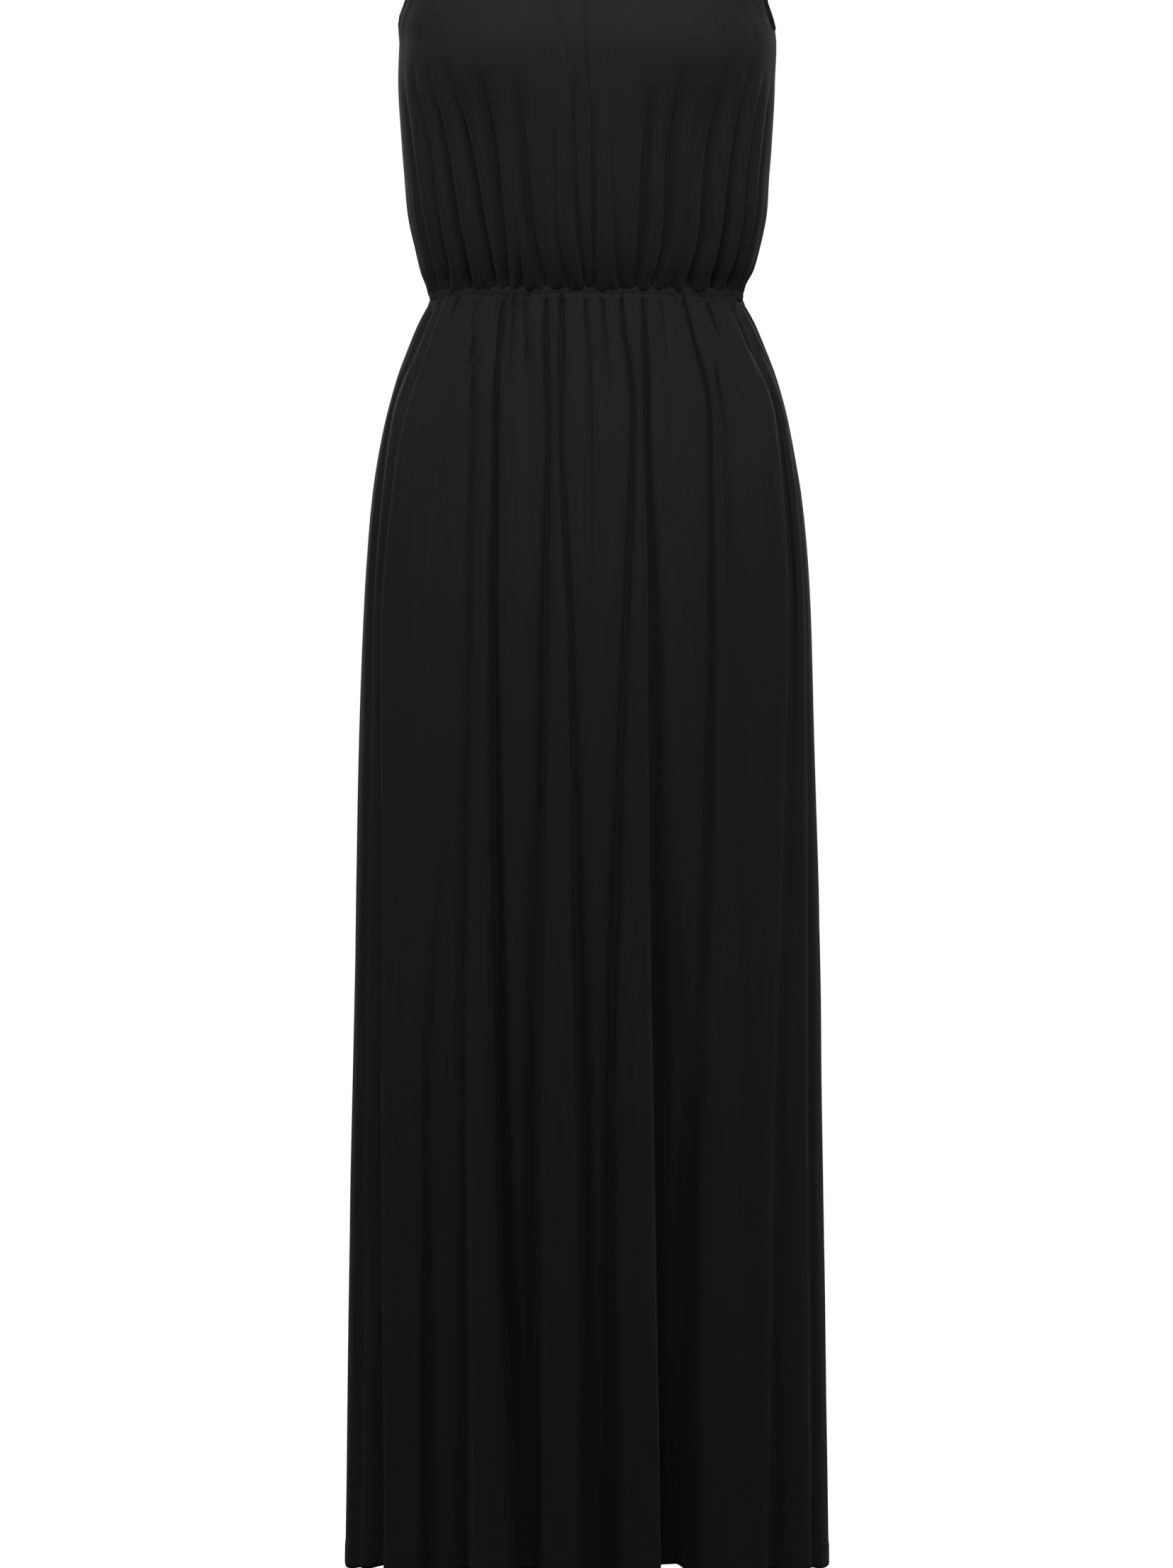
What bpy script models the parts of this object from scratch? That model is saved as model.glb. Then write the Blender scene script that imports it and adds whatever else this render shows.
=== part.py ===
"""Sleeveless maxi sundress in plain jersey, in the hollow form that it has when it is worn.

Metres, +Z up, the front of the dress faces -Y and its left side in front view is -X. The origin lies between
the shoulders, where the wearer holds the dress up. Five pieces: front and back bodice, waist casing, front and
back skirt. Each is a sheet of points laid round the sections below, folded by the tables of folds, and thickened
inwards to a thin wall.
"""

import math
from collections import namedtuple

import bpy
import numpy as np

# Cloth and seams
WALL = 0.0012
SEAM_GAP = 0.0003
SECTION_POWER = 2.25  # 2 is an ellipse, more is squarer
SIDE = math.pi / 2  # angle of the side seam, from the centre line of a panel

# Heights of the seams
CASING_TOP = -0.4439
CASING_BOTTOM = -0.4517
CASING_BULGE = 0.0009
BODICE_BOTTOM = CASING_TOP + SEAM_GAP
SKIRT_TOP = CASING_BOTTOM - SEAM_GAP
HEM = -1.475
HEM_LIFT = 0.3  # how far a valley lifts the hem, as a share of its depth

# Neck and shoulders
NECK_HALF_WIDTH = 0.088
NECK_POWER = 2.2
FRONT_NECK_HEIGHT = -0.145
BACK_NECK_HEIGHT = -0.055
SHOULDER_TIP = 0.142
NECK_ANGLE = math.radians(34)  # columns inside about this angle run up to the neckline
SQUEEZE_ANGLE = math.radians(40)  # columns outside this angle draw in beside the armhole

# Folds
FOLD_SHARPNESS = 1.5
SIDEWAYS = 0.4  # share of a fold's depth that goes sideways where the panel turns to the side
SEAM_CALM = math.radians(14)  # a fold dies out over this angle beside a side seam
CROWN = 0.3  # how far the cloth beside a valley stands proud, as a share of its depth

# Rows and columns of the sheets
WIDEST_COLUMN = 0.014
BUST_LINE = 0.170  # up the bodice, where the gathers have died out
LOWER_ROWS = (0.0, 0.005, 0.013, 0.026, 0.048, 0.078, 0.112, 0.145, 0.170)
UPPER_ROWS = (0.130, 0.148, 0.186, 0.222, 0.36, 0.52, 0.70, 0.86, 0.955, 1.0)  # shares of the way up
SKIRT_ROWS = (0.0, 0.004, 0.010, 0.020, 0.035, 0.055, 0.080, 0.115, 0.165, 0.235, 0.33, 0.45, 0.58, 0.72, 0.87, 1.0)
CASING_COLUMNS = 72

# Sections of the bodice. up is the length of cloth from the waist seam, height is the centre line's,
# front and back are how far the section reaches from the side seam's plane at seam_y, and fall is how far
# the shoulder drops for each metre outside the neck.
Girth = namedtuple("Girth", "up height half_width seam_y front back fall")
BODICE = (
    Girth(0.000, BODICE_BOTTOM, 0.1266, 0.000, 0.0970, 0.0860, 0.00),
    Girth(0.006, -0.4385, 0.1285, 0.000, 0.1000, 0.0890, 0.00),
    Girth(0.018, -0.4270, 0.1335, 0.000, 0.1060, 0.0940, 0.00),
    Girth(0.035, -0.4105, 0.1378, 0.000, 0.1110, 0.0985, 0.00),
    Girth(0.075, -0.3710, 0.1455, 0.000, 0.1190, 0.1030, 0.00),
    Girth(0.120, -0.3260, 0.1498, 0.000, 0.1250, 0.1055, 0.00),
    Girth(0.170, -0.2760, 0.1518, 0.000, 0.1295, 0.1090, 0.00),
    Girth(0.196, -0.2500, 0.1514, 0.000, 0.1310, 0.1120, 0.00),
    Girth(0.240, -0.2070, 0.1502, 0.000, 0.1240, 0.1170, 0.00),
    Girth(0.290, -0.1600, 0.1490, 0.001, 0.1050, 0.1170, 0.00),
    Girth(0.340, -0.1150, 0.1480, 0.003, 0.0830, 0.1080, 0.02),
    Girth(0.385, -0.0750, 0.1470, 0.005, 0.0620, 0.0920, 0.08),
    Girth(0.420, -0.0400, 0.1465, 0.007, 0.0500, 0.0700, 0.18),
    Girth(0.450, -0.0140, 0.1460, 0.009, 0.0340, 0.0440, 0.26),
    Girth(0.475, -0.0010, 0.1455, 0.011, 0.0140, 0.0170, 0.32),
    Girth(0.490, 0.0000, 0.1450, 0.012, 0.0000, 0.0000, 0.33),
)

# Sections of the skirt, by height.
Ring = namedtuple("Ring", "height half_width front back")
SKIRT = (
    Ring(SKIRT_TOP, 0.1272, 0.0985, 0.0875),
    Ring(-0.4600, 0.1305, 0.1015, 0.0915),
    Ring(-0.4830, 0.1403, 0.1090, 0.1030),
    Ring(-0.5175, 0.1535, 0.1170, 0.1200),
    Ring(-0.5520, 0.1633, 0.1225, 0.1320),
    Ring(-0.6210, 0.1748, 0.1290, 0.1420),
    Ring(-0.6900, 0.1797, 0.1330, 0.1450),
    Ring(-0.8280, 0.1846, 0.1400, 0.1490),
    Ring(-1.0700, 0.1896, 0.1500, 0.1580),
    Ring(HEM, 0.1960, 0.1660, 0.1750),
)

# Edges of the armholes: how far out each edge is at each height.
Armhole = namedtuple("Armhole", "height front_right front_left back")
ARMHOLE = (
    Armhole(-0.2346, 0.1512, 0.1512, 0.1512),
    Armhole(-0.2300, 0.1443, 0.1490, 0.1506),
    Armhole(-0.2185, 0.1415, 0.1478, 0.1498),
    Armhole(-0.2070, 0.1400, 0.1450, 0.1460),
    Armhole(-0.1650, 0.1345, 0.1370, 0.1385),
    Armhole(-0.1200, 0.1310, 0.1320, 0.1350),
    Armhole(-0.0700, 0.1330, 0.1335, 0.1360),
    Armhole(-0.0178, SHOULDER_TIP, SHOULDER_TIP, SHOULDER_TIP),
)

# Gathers of the bodice. The first four columns are the valley's place left or right of the centre, the next
# three its depth, and the last two how far its sides reach on its left and right at the ribs.
BODICE_FOLD_LEVELS = (0.0, 0.040, 0.110, 0.168)
BODICE_DEPTH_LEVELS = (0.002, 0.015, 0.100, 0.178)
Gather = namedtuple("Gather", "waist midriff ribs bust deep_waist deep_midriff deep_ribs left right")
BODICE_FRONT_FOLDS = (
    Gather(-0.1190, -0.1285, -0.1400, -0.1460, 0.0010, 0.0030, 0.0025, 0.008, 0.006),
    Gather(-0.1087, -0.1160, -0.1270, -0.1360, 0.0010, 0.0040, 0.0042, 0.009, 0.006),
    Gather(-0.0920, -0.1006, -0.1127, -0.1225, 0.0010, 0.0045, 0.0045, 0.007, 0.006),
    Gather(-0.0720, -0.0794, -0.0926, -0.1040, 0.0010, 0.0045, 0.0042, 0.008, 0.006),
    Gather(-0.0615, -0.0656, -0.0725, -0.0800, 0.0010, 0.0045, 0.0035, 0.007, 0.007),
    Gather(-0.0510, -0.0540, -0.0590, -0.0640, 0.0010, 0.0030, 0.0000, 0.005, 0.005),
    Gather(-0.0316, -0.0420, -0.0495, -0.0546, 0.0010, 0.0040, 0.0025, 0.008, 0.007),
    Gather(-0.0150, -0.0224, -0.0240, -0.0240, 0.0010, 0.0030, 0.0012, 0.006, 0.006),
    Gather(-0.0010, -0.0058, -0.0090, -0.0095, 0.0010, 0.0025, 0.0015, 0.005, 0.004),
    Gather(0.0070, 0.0058, 0.0050, 0.0040, 0.0010, 0.0030, 0.0018, 0.004, 0.006),
    Gather(0.0255, 0.0250, 0.0240, 0.0230, 0.0010, 0.0030, 0.0008, 0.005, 0.006),
    Gather(0.0400, 0.0425, 0.0470, 0.0520, 0.0010, 0.0040, 0.0025, 0.007, 0.007),
    Gather(0.0510, 0.0610, 0.0655, 0.0740, 0.0010, 0.0035, 0.0030, 0.006, 0.007),
    Gather(0.0680, 0.0765, 0.0830, 0.0880, 0.0010, 0.0030, 0.0012, 0.005, 0.005),
    Gather(0.0805, 0.0897, 0.0970, 0.1050, 0.0010, 0.0045, 0.0042, 0.006, 0.008),
    Gather(0.1000, 0.1080, 0.1180, 0.1250, 0.0010, 0.0045, 0.0045, 0.006, 0.007),
    Gather(0.1140, 0.1225, 0.1320, 0.1400, 0.0010, 0.0040, 0.0035, 0.006, 0.008),
    Gather(0.1220, 0.1320, 0.1420, 0.1470, 0.0010, 0.0030, 0.0020, 0.006, 0.008),
)
BODICE_BACK_FOLDS = (
    Gather(-0.1180, -0.1280, -0.1390, -0.1450, 0.0010, 0.0030, 0.0025, 0.008, 0.006),
    Gather(-0.1060, -0.1140, -0.1230, -0.1300, 0.0010, 0.0040, 0.0035, 0.008, 0.006),
    Gather(-0.0890, -0.0960, -0.1040, -0.1100, 0.0010, 0.0045, 0.0040, 0.007, 0.007),
    Gather(-0.0700, -0.0770, -0.0850, -0.0920, 0.0010, 0.0040, 0.0025, 0.007, 0.006),
    Gather(-0.0560, -0.0600, -0.0660, -0.0700, 0.0010, 0.0045, 0.0040, 0.006, 0.008),
    Gather(-0.0380, -0.0420, -0.0460, -0.0490, 0.0010, 0.0035, 0.0012, 0.006, 0.006),
    Gather(-0.0210, -0.0240, -0.0280, -0.0310, 0.0010, 0.0040, 0.0030, 0.007, 0.006),
    Gather(-0.0040, -0.0050, -0.0070, -0.0080, 0.0010, 0.0030, 0.0015, 0.006, 0.006),
    Gather(0.0130, 0.0150, 0.0170, 0.0180, 0.0010, 0.0040, 0.0025, 0.006, 0.007),
    Gather(0.0300, 0.0330, 0.0370, 0.0400, 0.0010, 0.0035, 0.0010, 0.006, 0.006),
    Gather(0.0460, 0.0510, 0.0560, 0.0600, 0.0010, 0.0045, 0.0038, 0.008, 0.006),
    Gather(0.0640, 0.0700, 0.0760, 0.0810, 0.0010, 0.0035, 0.0020, 0.006, 0.007),
    Gather(0.0820, 0.0890, 0.0970, 0.1030, 0.0010, 0.0045, 0.0042, 0.007, 0.007),
    Gather(0.1010, 0.1090, 0.1180, 0.1250, 0.0010, 0.0040, 0.0038, 0.006, 0.009),
    Gather(0.1170, 0.1270, 0.1380, 0.1440, 0.0010, 0.0035, 0.0025, 0.006, 0.008),
)

# Folds of the skirt. The first five columns are the valley's place left or right of the centre, the next four
# its depth, and the last two how far its sides reach on its left and right at the hem.
SKIRT_FOLD_HEIGHTS = (-0.4630, -0.5520, -0.7250, -1.0700, -1.4660)
SKIRT_DEPTH_HEIGHTS = (-0.4620, -0.5520, -1.0000, -1.4750)
Fold = namedtuple("Fold", "waist hip thigh knee hem deep_waist deep_hip deep_knee deep_hem left right")
SKIRT_FRONT_FOLDS = (
    Fold(-0.1270, -0.1565, -0.1745, -0.1805, -0.1850, 0.0025, 0.0030, 0.0060, 0.0100, 0.016, 0.022),
    Fold(-0.1180, -0.1410, -0.1570, -0.1670, -0.1680, 0.0030, 0.0045, 0.0140, 0.0220, 0.030, 0.009),
    Fold(-0.1020, -0.1200, -0.1270, -0.1160, -0.1090, 0.0035, 0.0035, 0.0050, 0.0100, 0.022, 0.026),
    Fold(-0.0900, -0.0890, -0.0910, -0.0960, -0.0960, 0.0030, 0.0040, 0.0080, 0.0110, 0.014, 0.010),
    Fold(-0.0670, -0.0730, -0.0750, -0.0740, -0.0575, 0.0040, 0.0070, 0.0150, 0.0200, 0.012, 0.024),
    Fold(-0.0570, -0.0600, -0.0610, -0.0600, -0.0500, 0.0030, 0.0015, 0.0000, 0.0000, 0.012, 0.012),
    Fold(-0.0480, -0.0430, -0.0430, -0.0450, -0.0440, 0.0025, 0.0025, 0.0000, 0.0000, 0.012, 0.012),
    Fold(-0.0320, -0.0300, -0.0330, -0.0360, -0.0390, 0.0035, 0.0050, 0.0080, 0.0120, 0.016, 0.010),
    Fold(-0.0195, -0.0195, -0.0130, -0.0070, -0.0005, 0.0035, 0.0045, 0.0080, 0.0130, 0.010, 0.018),
    Fold(0.0000, 0.0040, 0.0040, 0.0050, 0.0080, 0.0035, 0.0035, 0.0000, 0.0000, 0.012, 0.012),
    Fold(0.0130, 0.0190, 0.0180, 0.0130, 0.0150, 0.0030, 0.0015, 0.0000, 0.0000, 0.012, 0.012),
    Fold(0.0275, 0.0370, 0.0305, 0.0215, 0.0230, 0.0035, 0.0050, 0.0090, 0.0130, 0.018, 0.010),
    Fold(0.0450, 0.0470, 0.0510, 0.0545, 0.0605, 0.0040, 0.0065, 0.0160, 0.0270, 0.010, 0.026),
    Fold(0.0600, 0.0650, 0.0660, 0.0650, 0.0690, 0.0030, 0.0012, 0.0000, 0.0000, 0.012, 0.012),
    Fold(0.0790, 0.0980, 0.0980, 0.0875, 0.0790, 0.0040, 0.0060, 0.0100, 0.0120, 0.016, 0.010),
    Fold(0.0990, 0.1070, 0.1130, 0.1230, 0.1280, 0.0035, 0.0045, 0.0070, 0.0080, 0.012, 0.020),
    Fold(0.1190, 0.1490, 0.1670, 0.1590, 0.1510, 0.0035, 0.0060, 0.0140, 0.0210, 0.009, 0.030),
    Fold(0.1275, 0.1575, 0.1750, 0.1795, 0.1830, 0.0025, 0.0030, 0.0070, 0.0110, 0.020, 0.018),
)
SKIRT_BACK_FOLDS = (
    Fold(-0.1270, -0.1560, -0.1720, -0.1790, -0.1850, 0.0025, 0.0030, 0.0070, 0.0110, 0.018, 0.020),
    Fold(-0.1160, -0.1350, -0.1480, -0.1520, -0.1560, 0.0035, 0.0050, 0.0130, 0.0200, 0.026, 0.012),
    Fold(-0.0960, -0.1080, -0.1120, -0.1130, -0.1170, 0.0035, 0.0040, 0.0070, 0.0110, 0.018, 0.016),
    Fold(-0.0790, -0.0850, -0.0840, -0.0820, -0.0800, 0.0040, 0.0060, 0.0140, 0.0210, 0.012, 0.022),
    Fold(-0.0600, -0.0620, -0.0600, -0.0580, -0.0560, 0.0035, 0.0020, 0.0000, 0.0000, 0.012, 0.012),
    Fold(-0.0430, -0.0450, -0.0460, -0.0440, -0.0430, 0.0035, 0.0045, 0.0090, 0.0130, 0.018, 0.012),
    Fold(-0.0260, -0.0270, -0.0240, -0.0170, -0.0120, 0.0035, 0.0050, 0.0120, 0.0190, 0.012, 0.020),
    Fold(-0.0080, -0.0060, 0.0000, 0.0020, 0.0040, 0.0030, 0.0020, 0.0000, 0.0000, 0.012, 0.012),
    Fold(0.0110, 0.0150, 0.0180, 0.0210, 0.0240, 0.0035, 0.0040, 0.0060, 0.0100, 0.016, 0.012),
    Fold(0.0290, 0.0330, 0.0360, 0.0400, 0.0460, 0.0040, 0.0060, 0.0130, 0.0200, 0.014, 0.022),
    Fold(0.0480, 0.0540, 0.0560, 0.0590, 0.0640, 0.0035, 0.0020, 0.0000, 0.0000, 0.012, 0.012),
    Fold(0.0660, 0.0740, 0.0780, 0.0800, 0.0820, 0.0035, 0.0050, 0.0090, 0.0130, 0.018, 0.012),
    Fold(0.0850, 0.0960, 0.1010, 0.1060, 0.1110, 0.0040, 0.0055, 0.0130, 0.0180, 0.012, 0.022),
    Fold(0.1060, 0.1260, 0.1400, 0.1450, 0.1500, 0.0035, 0.0050, 0.0120, 0.0200, 0.014, 0.026),
    Fold(0.1240, 0.1540, 0.1700, 0.1780, 0.1835, 0.0025, 0.0035, 0.0060, 0.0100, 0.020, 0.018),
)
FOLD_WIDTH_HEIGHTS = (-0.4520, -0.5520, -0.7250, -1.1000, -1.4750)
FOLD_WIDTH_SHARES = (0.26, 0.42, 0.62, 0.85, 1.0)
GATHER_WIDTH_LEVELS = (0.0, 0.040, 0.110, 0.180)
GATHER_WIDTH_SHARES = (0.62, 0.80, 1.0, 1.3)

# The cloth's finish
CLOTH_COLOUR = (0.012, 0.012, 0.012, 1.0)
CLOTH_ROUGHNESS = 0.85


def curve(at, knots, values):
    """A smooth curve through the values that never overshoots them."""
    order = np.argsort(knots)
    k = np.asarray(knots, float)[order]
    v = np.asarray(values, float)[order]
    step = np.diff(k)
    slope = np.diff(v) / step
    tangent = np.zeros(len(k))
    tangent[0] = slope[0]
    tangent[-1] = slope[-1]
    same_way = slope[:-1] * slope[1:] > 0
    near = 2 * step[1:] + step[:-1]
    far = step[1:] + 2 * step[:-1]
    first = np.where(same_way, slope[:-1], 1.0)
    second = np.where(same_way, slope[1:], 1.0)
    tangent[1:-1] = np.where(same_way, (near + far) / (near / first + far / second), 0.0)
    at = np.clip(at, k[0], k[-1])
    i = np.clip(np.searchsorted(k, at) - 1, 0, len(step) - 1)
    t = (at - k[i]) / step[i]
    start = (1 + 2 * t) * (1 - t) ** 2 * v[i] + t * (1 - t) ** 2 * step[i] * tangent[i]
    end = t * t * (3 - 2 * t) * v[i + 1] + t * t * (t - 1) * step[i] * tangent[i + 1]
    return start + end


def ease(t):
    """0 to 1, level at both ends."""
    t = np.clip(t, 0.0, 1.0)
    return t * t * (3 - 2 * t)


def angle_at(x, half_width):
    """The angle round a section where it is x from the centre line."""
    share = np.clip(np.abs(x) / half_width, 0.0, 1.0)
    return np.sign(x) * np.arcsin(share ** (SECTION_POWER / 2))


def section_xy(angle, half_width, reach, facing):
    """A point of a section. facing is -1 for the front of the dress and 1 for its back."""
    x = half_width * np.sign(angle) * np.abs(np.sin(angle)) ** (2 / SECTION_POWER)
    y = facing * reach * np.abs(np.cos(angle)) ** (2 / SECTION_POWER)
    return x, y


def fold_offset(angle, half_width, reach, places, depths, lefts, rights):
    """How far the folds move the cloth outwards at each angle of one section."""
    ring = np.linspace(-SIDE, SIDE, 721)
    ring_x, ring_y = section_xy(ring, half_width, reach, 1)
    lengths = np.concatenate([[0.0], np.cumsum(np.hypot(np.diff(ring_x), np.diff(ring_y)))])
    along = np.interp(angle, ring, lengths)
    centres = np.interp(angle_at(places, half_width), ring, lengths)
    total = np.zeros_like(along)
    for centre, depth, left, right in zip(centres, depths, lefts, rights):
        away = np.where(along < centre, (centre - along) / left, (along - centre) / right)
        total += depth * (CROWN - (1 + CROWN) * np.exp(-(away**FOLD_SHARPNESS))) * np.exp(-((away / 2.5) ** 2))
    return total * ease((SIDE - np.abs(angle)) / SEAM_CALM)


def displaced(angle, half_width, reach, facing, offset):
    """Points of a section moved outwards by the folds' offset, and mostly in depth where it turns to the side."""
    x, y = section_xy(angle, half_width, reach, facing)
    across = np.sign(angle) * np.abs(np.sin(angle)) ** (2 - 2 / SECTION_POWER) / half_width
    ahead = facing * np.abs(np.cos(angle)) ** (2 - 2 / SECTION_POWER) / reach
    size = np.hypot(across, ahead)
    return x + SIDEWAYS * offset * across / size, y + offset * ahead / size


def columns_between(valleys_at_widest):
    """Shares of the way from one valley to the next where columns of points lie, the valleys included."""
    columns = []
    for i, gap in enumerate(np.diff(valleys_at_widest)):
        count = max(3, math.ceil(gap / WIDEST_COLUMN))
        columns += [(i, step / count) for step in range(count)]
    columns.append((len(valleys_at_widest) - 2, 1.0))
    return columns


def column_angles(columns, valley_angles):
    """The angle of each column, given the angles of the valleys at one height."""
    edges = np.concatenate([[-SIDE], valley_angles, [SIDE]])
    return np.array([edges[i] + share * (edges[i + 1] - edges[i]) for i, share in columns])


def sheet_object(name, rows, closed, facing_out):
    """An object whose faces join rows of points, each row from left to right, thickened inwards."""
    width = len(rows[0])
    points = [tuple(float(c) for c in p) for row in rows for p in row]
    across = width if closed else width - 1
    faces = []
    for r in range(len(rows) - 1):
        for c in range(across):
            a = r * width + c
            b = r * width + (c + 1) % width
            quad = (a, b, b + width, a + width)
            faces.append(quad if facing_out else quad[::-1])
    mesh = bpy.data.meshes.new(name)
    mesh.from_pydata(points, [], faces)
    mesh.shade_smooth()
    piece = bpy.data.objects.new(name, mesh)
    wall = piece.modifiers.new("wall", "SOLIDIFY")
    wall.thickness = WALL
    wall.offset = -1.0
    return piece


def cloth_material(name):
    """Plain matt black jersey."""
    material = bpy.data.materials.new(name)
    material.use_nodes = True
    shader = material.node_tree.nodes["Principled BSDF"]
    shader.inputs["Base Color"].default_value = CLOTH_COLOUR
    shader.inputs["Roughness"].default_value = CLOTH_ROUGHNESS
    shader.inputs["Metallic"].default_value = 0.0
    return material


def bodice_values(up):
    """The bodice's section at lengths up the cloth: height, half width, seam_y, front, back and fall."""
    ups = [girth.up for girth in BODICE]
    found = [curve(up, ups, [getattr(girth, field) for girth in BODICE]) for field in Girth._fields[1:]]
    return Girth(up, *found)


def up_at(x, height):
    """The length up the cloth at which the bodice, x from its centre line, has a height."""
    ups = np.linspace(0.0, BODICE[-1].up, 400)
    girth = bodice_values(ups)
    outside = max(abs(x) - NECK_HALF_WIDTH, 0.0)
    return float(np.interp(height, girth.height - girth.fall * outside, ups))


def neck_end(angle, angles, facing):
    """Where a column that starts at this angle ends: its angle and its length up the cloth."""
    top = BODICE[-1]
    neck_point = float(angle_at(NECK_HALF_WIDTH, top.half_width))
    corner = min((abs(a) for a in angles if a * angle >= 0), key=lambda a: abs(a - NECK_ANGLE))
    if abs(angle) >= corner:
        share = (abs(angle) - corner) / (SIDE - corner)
        return math.copysign(neck_point + share * (SIDE - neck_point), angle), top.up
    low = FRONT_NECK_HEIGHT if facing < 0 else BACK_NECK_HEIGHT
    turn = SIDE * angle / corner
    x = NECK_HALF_WIDTH * math.copysign(abs(math.sin(turn)) ** (2 / NECK_POWER), angle)
    up = up_at(x, low * math.cos(turn) ** (2 / NECK_POWER))
    return float(angle_at(x, float(bodice_values(up).half_width))), up


def armhole_angle(right, facing, height, half_width):
    """The angle of the armhole's edge at a height, or of the side seam below it."""
    if height <= ARMHOLE[0].height:
        return SIDE
    field = "back" if facing > 0 else "front_right" if right else "front_left"
    out = curve(height, [a.height for a in ARMHOLE], [getattr(a, field) for a in ARMHOLE])
    return float(angle_at(float(out), half_width))


def bodice_offset(angles, girth, reach, folds):
    """How far the gathers move a row of the bodice."""
    up = girth.up
    places = [float(curve(up, BODICE_FOLD_LEVELS, (g.waist, g.midriff, g.ribs, g.bust))) for g in folds]
    depths = [
        float(curve(up, BODICE_DEPTH_LEVELS, (g.deep_waist, g.deep_midriff, g.deep_ribs, 0.0))) for g in folds
    ]
    share = float(curve(up, GATHER_WIDTH_LEVELS, GATHER_WIDTH_SHARES))
    lefts = [share * g.left for g in folds]
    rights = [share * g.right for g in folds]
    return fold_offset(angles, girth.half_width, reach, places, depths, lefts, rights)


def bodice_row_below_bust(up, columns, folds, facing):
    """One row of the gathered part of a bodice panel."""
    girth = bodice_values(up)
    half_width = float(girth.half_width)
    reach = float(girth.front if facing < 0 else girth.back)
    places = [float(curve(up, BODICE_FOLD_LEVELS, (g.waist, g.midriff, g.ribs, g.bust))) for g in folds]
    angles = column_angles(columns, angle_at(np.array(places), half_width))
    offset = bodice_offset(angles, girth, reach, folds)
    x, y = displaced(angles, half_width, reach, facing, offset)
    return [(px, py + float(girth.seam_y), float(girth.height)) for px, py in zip(x, y)], angles


def bodice_row_above_bust(share, start_angles, ends, facing):
    """One row of the plain part of a bodice panel, between the bust line and the neck, shoulders and armholes."""
    row = []
    for start, (end_angle, end_up) in zip(start_angles, ends):
        up = BUST_LINE + share * (end_up - BUST_LINE)
        girth = bodice_values(up)
        angle = start + share * (end_angle - start)
        half_width = float(girth.half_width)
        outside = max(abs(half_width * math.sin(angle)) - NECK_HALF_WIDTH, 0.0)
        edge = armhole_angle(angle > 0, facing, float(girth.height - girth.fall * outside), half_width)
        if abs(angle) > SQUEEZE_ANGLE:
            part = (abs(angle) - SQUEEZE_ANGLE) / (SIDE - SQUEEZE_ANGLE)
            angle = math.copysign(SQUEEZE_ANGLE + part * (edge - SQUEEZE_ANGLE), angle)
        reach = float(girth.front if facing < 0 else girth.back)
        x, y = section_xy(np.array(angle), half_width, reach, facing)
        drop = float(girth.fall) * max(abs(float(x)) - NECK_HALF_WIDTH, 0.0)
        row.append((float(x), float(y) + float(girth.seam_y), float(girth.height) - drop))
    return row


def bodice_panel(name, facing, folds):
    """A bodice panel. Its columns follow the gathers to the bust line and fan out to the neck and shoulders."""
    ribs = bodice_values(BUST_LINE)
    reach = float(ribs.front if facing < 0 else ribs.back)
    valleys = angle_at(np.array([g.bust for g in folds]), float(ribs.half_width))
    columns = columns_between(np.concatenate([[-SIDE], valleys, [SIDE]]) * reach)
    rows = []
    for up in LOWER_ROWS:
        row, angles = bodice_row_below_bust(up, columns, folds, facing)
        rows.append(row)
    ends = [neck_end(angle, angles, facing) for angle in angles]
    rows += [bodice_row_above_bust(share, angles, ends, facing) for share in UPPER_ROWS]
    return moved_to_seam(name, rows, facing)


def skirt_row(share, columns, folds, facing):
    """One row of a skirt panel."""
    height = SKIRT_TOP + share * (HEM - SKIRT_TOP)
    heights = [ring.height for ring in SKIRT]
    half_width = float(curve(height, heights, [ring.half_width for ring in SKIRT]))
    reach = float(curve(height, heights, [ring.front if facing < 0 else ring.back for ring in SKIRT]))
    places = np.array([float(curve(height, SKIRT_FOLD_HEIGHTS, fold[:5])) for fold in folds])
    angles = column_angles(columns, angle_at(places, half_width))
    depths = [float(curve(height, SKIRT_DEPTH_HEIGHTS, fold[5:9])) for fold in folds]
    if share == 0.0:
        depths = [min(depth, 0.001) for depth in depths]
    width = float(curve(height, FOLD_WIDTH_HEIGHTS, FOLD_WIDTH_SHARES))
    lefts = [width * fold.left for fold in folds]
    rights = [width * fold.right for fold in folds]
    offset = fold_offset(angles, half_width, reach, places, depths, lefts, rights)
    x, y = displaced(angles, half_width, reach, facing, offset)
    lift = HEM_LIFT * share**4 * np.maximum(-offset, 0.0)
    return list(zip(x, y, height + lift))


def skirt_panel(name, facing, folds):
    """A skirt panel, gathered at the waist, with folds that widen down to the hem."""
    valleys = np.concatenate([[-SKIRT[-1].half_width], [fold.hem for fold in folds], [SKIRT[-1].half_width]])
    columns = columns_between(valleys)
    rows = [skirt_row(share, columns, folds, facing) for share in SKIRT_ROWS]
    return moved_to_seam(name, rows[::-1], facing)


def moved_to_seam(name, rows, facing):
    """The object of a panel's rows, listed from the bottom up, clear of the other panel by the seam gap."""
    clear = facing * SEAM_GAP / 2
    rows = [[(x, y + clear, z) for x, y, z in row] for row in rows]
    return sheet_object(name, rows, closed=False, facing_out=facing < 0)


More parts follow.
